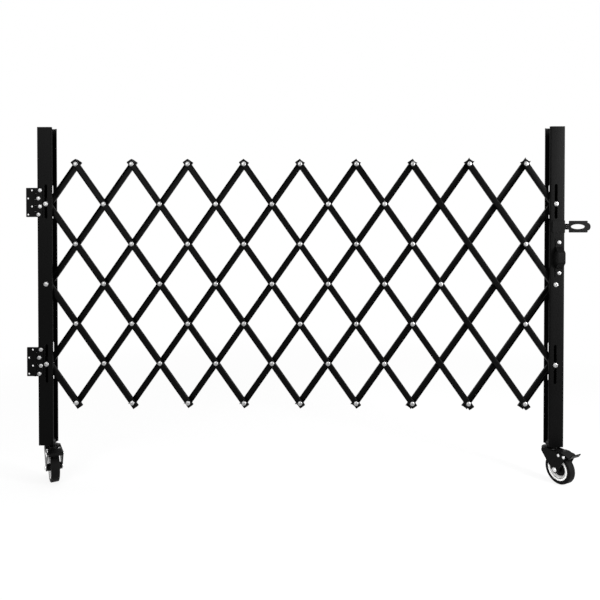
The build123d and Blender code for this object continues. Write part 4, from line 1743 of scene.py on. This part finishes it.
    def _core(self) -> None:
        """Make the white rim ring, and on each side a white ring on the web's conical wall as a
        painted reflection, on a dark core with its web and hub.
        """
        face, inner, ease = self.rim_width / 2, self.rim_inner, self.rim_ease
        white = self._ring([
            (inner, face - self.rim_lip), (inner, face - ease), (inner + ease, face),
            (self.tyre_inner, face),
        ])
        # Painted reflection: a white ring laid on each side of the dark web's conical wall.
        for side in (-1, 1):
            reflection_ring = [(radius * MM, side * depth * MM) for radius, depth in self.reflection_ring_profile_mm]
            white.turned(reflection_ring, self.about_axle, self.wheel_steps, True)
        dark = self._ring([(radius * MM, depth * MM) for radius, depth in self.core_profile_mm])
        node, body = "wheel_core", "wheel"
        self._seat(white, "wheel_rim", "wheel_core_white", node, body, SMOOTH_BARREL)
        self._seat(dark, "wheel_web_and_hub", "fork_black", node, body, SMOOTH_TURNED)

    def _ring(self, half: Outline) -> Shape:
        """Turn a wheel ring whose profile is mirrored from its outer half."""
        whole = [*half, *[(radius, -depth) for radius, depth in reversed(half)]]
        return Shape().turned(whole, self.about_axle, self.wheel_steps, True)

    def _tyre(self) -> None:
        """Make the tread ring with rounded shoulders."""
        radius, half, shoulder = self.axle[1], self.wheel_width / 2, self.tread_shoulder
        outward, inward = self.tyre_edge
        start, flare = radius - shoulder, shoulder * self.tread_flare
        bulge = [
            (start + shoulder * sin(a), half - flare * (1 - cos(a)))
            for a in quarter(self.tread_steps)[:-1]
        ]
        tyre = self._ring([
            (self.tyre_inner, half - inward), (self.tyre_inner + outward, half), *bulge,
            (radius, half - shoulder),
        ])
        self._seat(tyre, "tyre_ring", "tyre_black", "wheel_tyre", "wheel", SMOOTH_TYRE)

    def _pedal(self) -> None:
        """Make the foot lever: a bent plate on two cheeks, and the shoe under the pin."""
        half, thick = self.pedal_width / 2, self.pedal_thickness
        outline = thickened(softened(self.pedal_line, self.pedal_bend), thick)
        plate = Shape().plate(outline, [], -half, half, self.side_on)
        top, dip = self.pedal_line[1], self.pedal_line[2]
        cheek = hull([
            (top[0], top[1] - thick / 2), (dip[0] - self.cheek_setback, dip[1] - thick / 4),
            *ring_points(self.ear_radius, self.pedal_pin, self.ear_steps),
        ])
        hole = ring_points(self.pin_radius + self.gap / 2, self.pedal_pin, self.hole_steps)
        cheeks = Shape()
        for low in (-half, half - thick):
            cheeks.plate(cheek, [hole], low, low + thick, self.side_on)
        root = (self.shoe_tip[0], self.pedal_pin[1] + self.pin_radius)
        shoe = hull([
            *ring_points(self.shoe_root_radius, root, self.shoe_steps),
            *ring_points(self.shoe_radius, self.shoe_tip, self.shoe_steps),
        ])
        cheeks.plate(shoe, [], -self.shoe_width / 2, self.shoe_width / 2, self.side_on)
        key, node, body = "pedal_black", "brake_pedal", "pedal"
        self._seat(plate, "pedal_plate", key, node, body, bevel=self.pedal_bevels[0])
        self._seat(cheeks, "pedal_cheeks", key, node, body, bevel=self.pedal_bevels[1])


# Studio


@dataclass
class Studio:
    """Camera, lamps, floor and background. A lamp is (name, place, size, watts)."""

    lens: float = 35.46
    sensor: float = 36.0
    shift: Point = (0.0086, -0.1165)
    pitch_down: float = 0.75
    yaw_left: float = 0.5
    camera_place: Point = (-0.026, -2.005, 0.884)
    sky: float = 0.4
    floor_half: float = 8.0
    floor_colour: Point = (0.9, 0.9, 0.9, 1.0)
    floor_share: float = 0.86
    floor_fade: Point = (1.1, 2.6)
    lamp_aim: Point = (0.0, 0.0, 0.6)
    lamps: Sequence[tuple] = (
        ("key_panel", (1.75, -0.95, 1.1), (0.5, 1.4), 52.0),
        ("front_panel", (-1.4, -2.6, 1.9), (2.0, 2.0), 55.0),
        ("top_panel", (0.0, 0.4, 3.0), (3.0, 1.4), 45.0),
    )

    def build(self) -> None:
        """Set up everything that isn't part of the barrier."""
        bpy.context.scene.view_settings.view_transform = "Standard"
        self._camera()
        self._world()
        self._floor()
        for lamp in self.lamps:
            self._lamp(*lamp)

    @staticmethod
    def _put(name: str, data: bpy.types.ID) -> bpy.types.Object:
        """Put a new object in the scene.

        Args:
            name: The object's name.
            data: Its camera, lamp or mesh.

        Returns:
            The object.
        """
        made = bpy.data.objects.new(name, data)
        bpy.context.scene.collection.objects.link(made)
        return made

    def _camera(self) -> None:
        """Set the camera at the photograph's viewpoint."""
        data = bpy.data.cameras.new("photo_camera")
        data.lens, data.sensor_width = self.lens, self.sensor
        data.shift_x, data.shift_y = self.shift
        camera = self._put("photo_camera", data)
        camera.location = self.camera_place
        camera.rotation_euler = (pi / 2 - radians(self.pitch_down), 0.0, radians(self.yaw_left))
        bpy.context.scene.camera = camera

    def _world(self) -> None:
        """Light evenly from all round, and look white to the camera."""
        world = bpy.data.worlds.new("studio_world")
        sheet = Sheet.on(world)
        level = self._seen(sheet) * (1.0 - self.sky) + self.sky
        light = sheet.node("ShaderNodeBackground", {"Color": WHITE, "Strength": level})
        sheet.node("ShaderNodeOutputWorld", {"Surface": light})
        bpy.context.scene.world = world

    @staticmethod
    def _seen(sheet: Sheet) -> Value:
        """Tell the rays that see a thing from those that only light by it.

        Args:
            sheet: Where the nodes go.

        Returns:
            One for a ray from the camera, mirrored or passed through, and else nought.
        """
        rays = sheet.node("ShaderNodeLightPath").outputs
        straight, mirrored, passed = (
            Value(sheet, rays[f"Is {kind} Ray"]) for kind in ("Camera", "Glossy", "Transmission")
        )
        terms = {0: straight + mirrored + passed, 1: 1.0}
        return sheet.value("ShaderNodeMath", terms, operation="MINIMUM")

    def _floor(self) -> None:
        """Lay a white floor that keeps a soft shadow."""
        size = self.floor_half
        corners = [(-size, -size, 0), (size, -size, 0), (size, size, 0), (-size, size, 0)]
        data = bpy.data.meshes.new("floor")
        data.from_pydata(corners, [], [(0, 1, 2, 3)])
        floor = self._put("floor", data)
        material = bpy.data.materials.new("floor_white")
        sheet = Sheet.on(material)
        diffuse = sheet.node("ShaderNodeBsdfDiffuse", {"Color": self.floor_colour})
        glow = sheet.node("ShaderNodeEmission", {"Color": WHITE, "Strength": 1.0})
        place = sheet.node("ShaderNodeTexCoord").outputs["Object"]
        away = sheet.value("ShaderNodeVectorMath", {0: place}, "Value", operation="LENGTH")
        near, far = self.floor_fade
        fade = sheet.value(
            "ShaderNodeMapRange", {"Value": away, "From Min": near, "From Max": far}
        )
        share = self._seen(sheet) * (fade * (1.0 - self.floor_share) + self.floor_share)
        mixed = sheet.node("ShaderNodeMixShader", {0: share, 1: diffuse, 2: glow})
        sheet.node("ShaderNodeOutputMaterial", {"Surface": mixed})
        data.materials.append(material)

    def _lamp(self, name: str, place: Point, size: Point, power: float) -> None:
        """Set one soft panel aimed at the barrier's middle.

        Args:
            name: The lamp's name.
            place: Where it stands.
            size: Its width and height.
            power: Its watts.
        """
        data = bpy.data.lights.new(name, "AREA")
        data.shape, data.energy = "RECTANGLE", power
        data.size, data.size_y = size
        lamp = self._put(name, data)
        lamp.location = place
        aim = Vector(self.lamp_aim) - Vector(place)
        lamp.rotation_euler = aim.to_track_quat("-Z", "Y").to_euler()


def main() -> None:
    """Build the barrier's looks in order."""
    logging.basicConfig(level=logging.INFO, format="%(name)s: %(message)s")
    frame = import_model()
    shop = Workshop(frame)
    hinges, latch = WallHinges(shop), Latch(shop)
    Lattice(shop).build()
    Post(shop, End.LEFT, hinges.screw_places()).build()
    Post(shop, End.RIGHT, latch.screw_places()).build()
    hinges.build()
    latch.build()
    for side in ("left", "right"):
        Caster(shop, side).build()
    Studio().build()


if __name__ == "__main__":
    main()
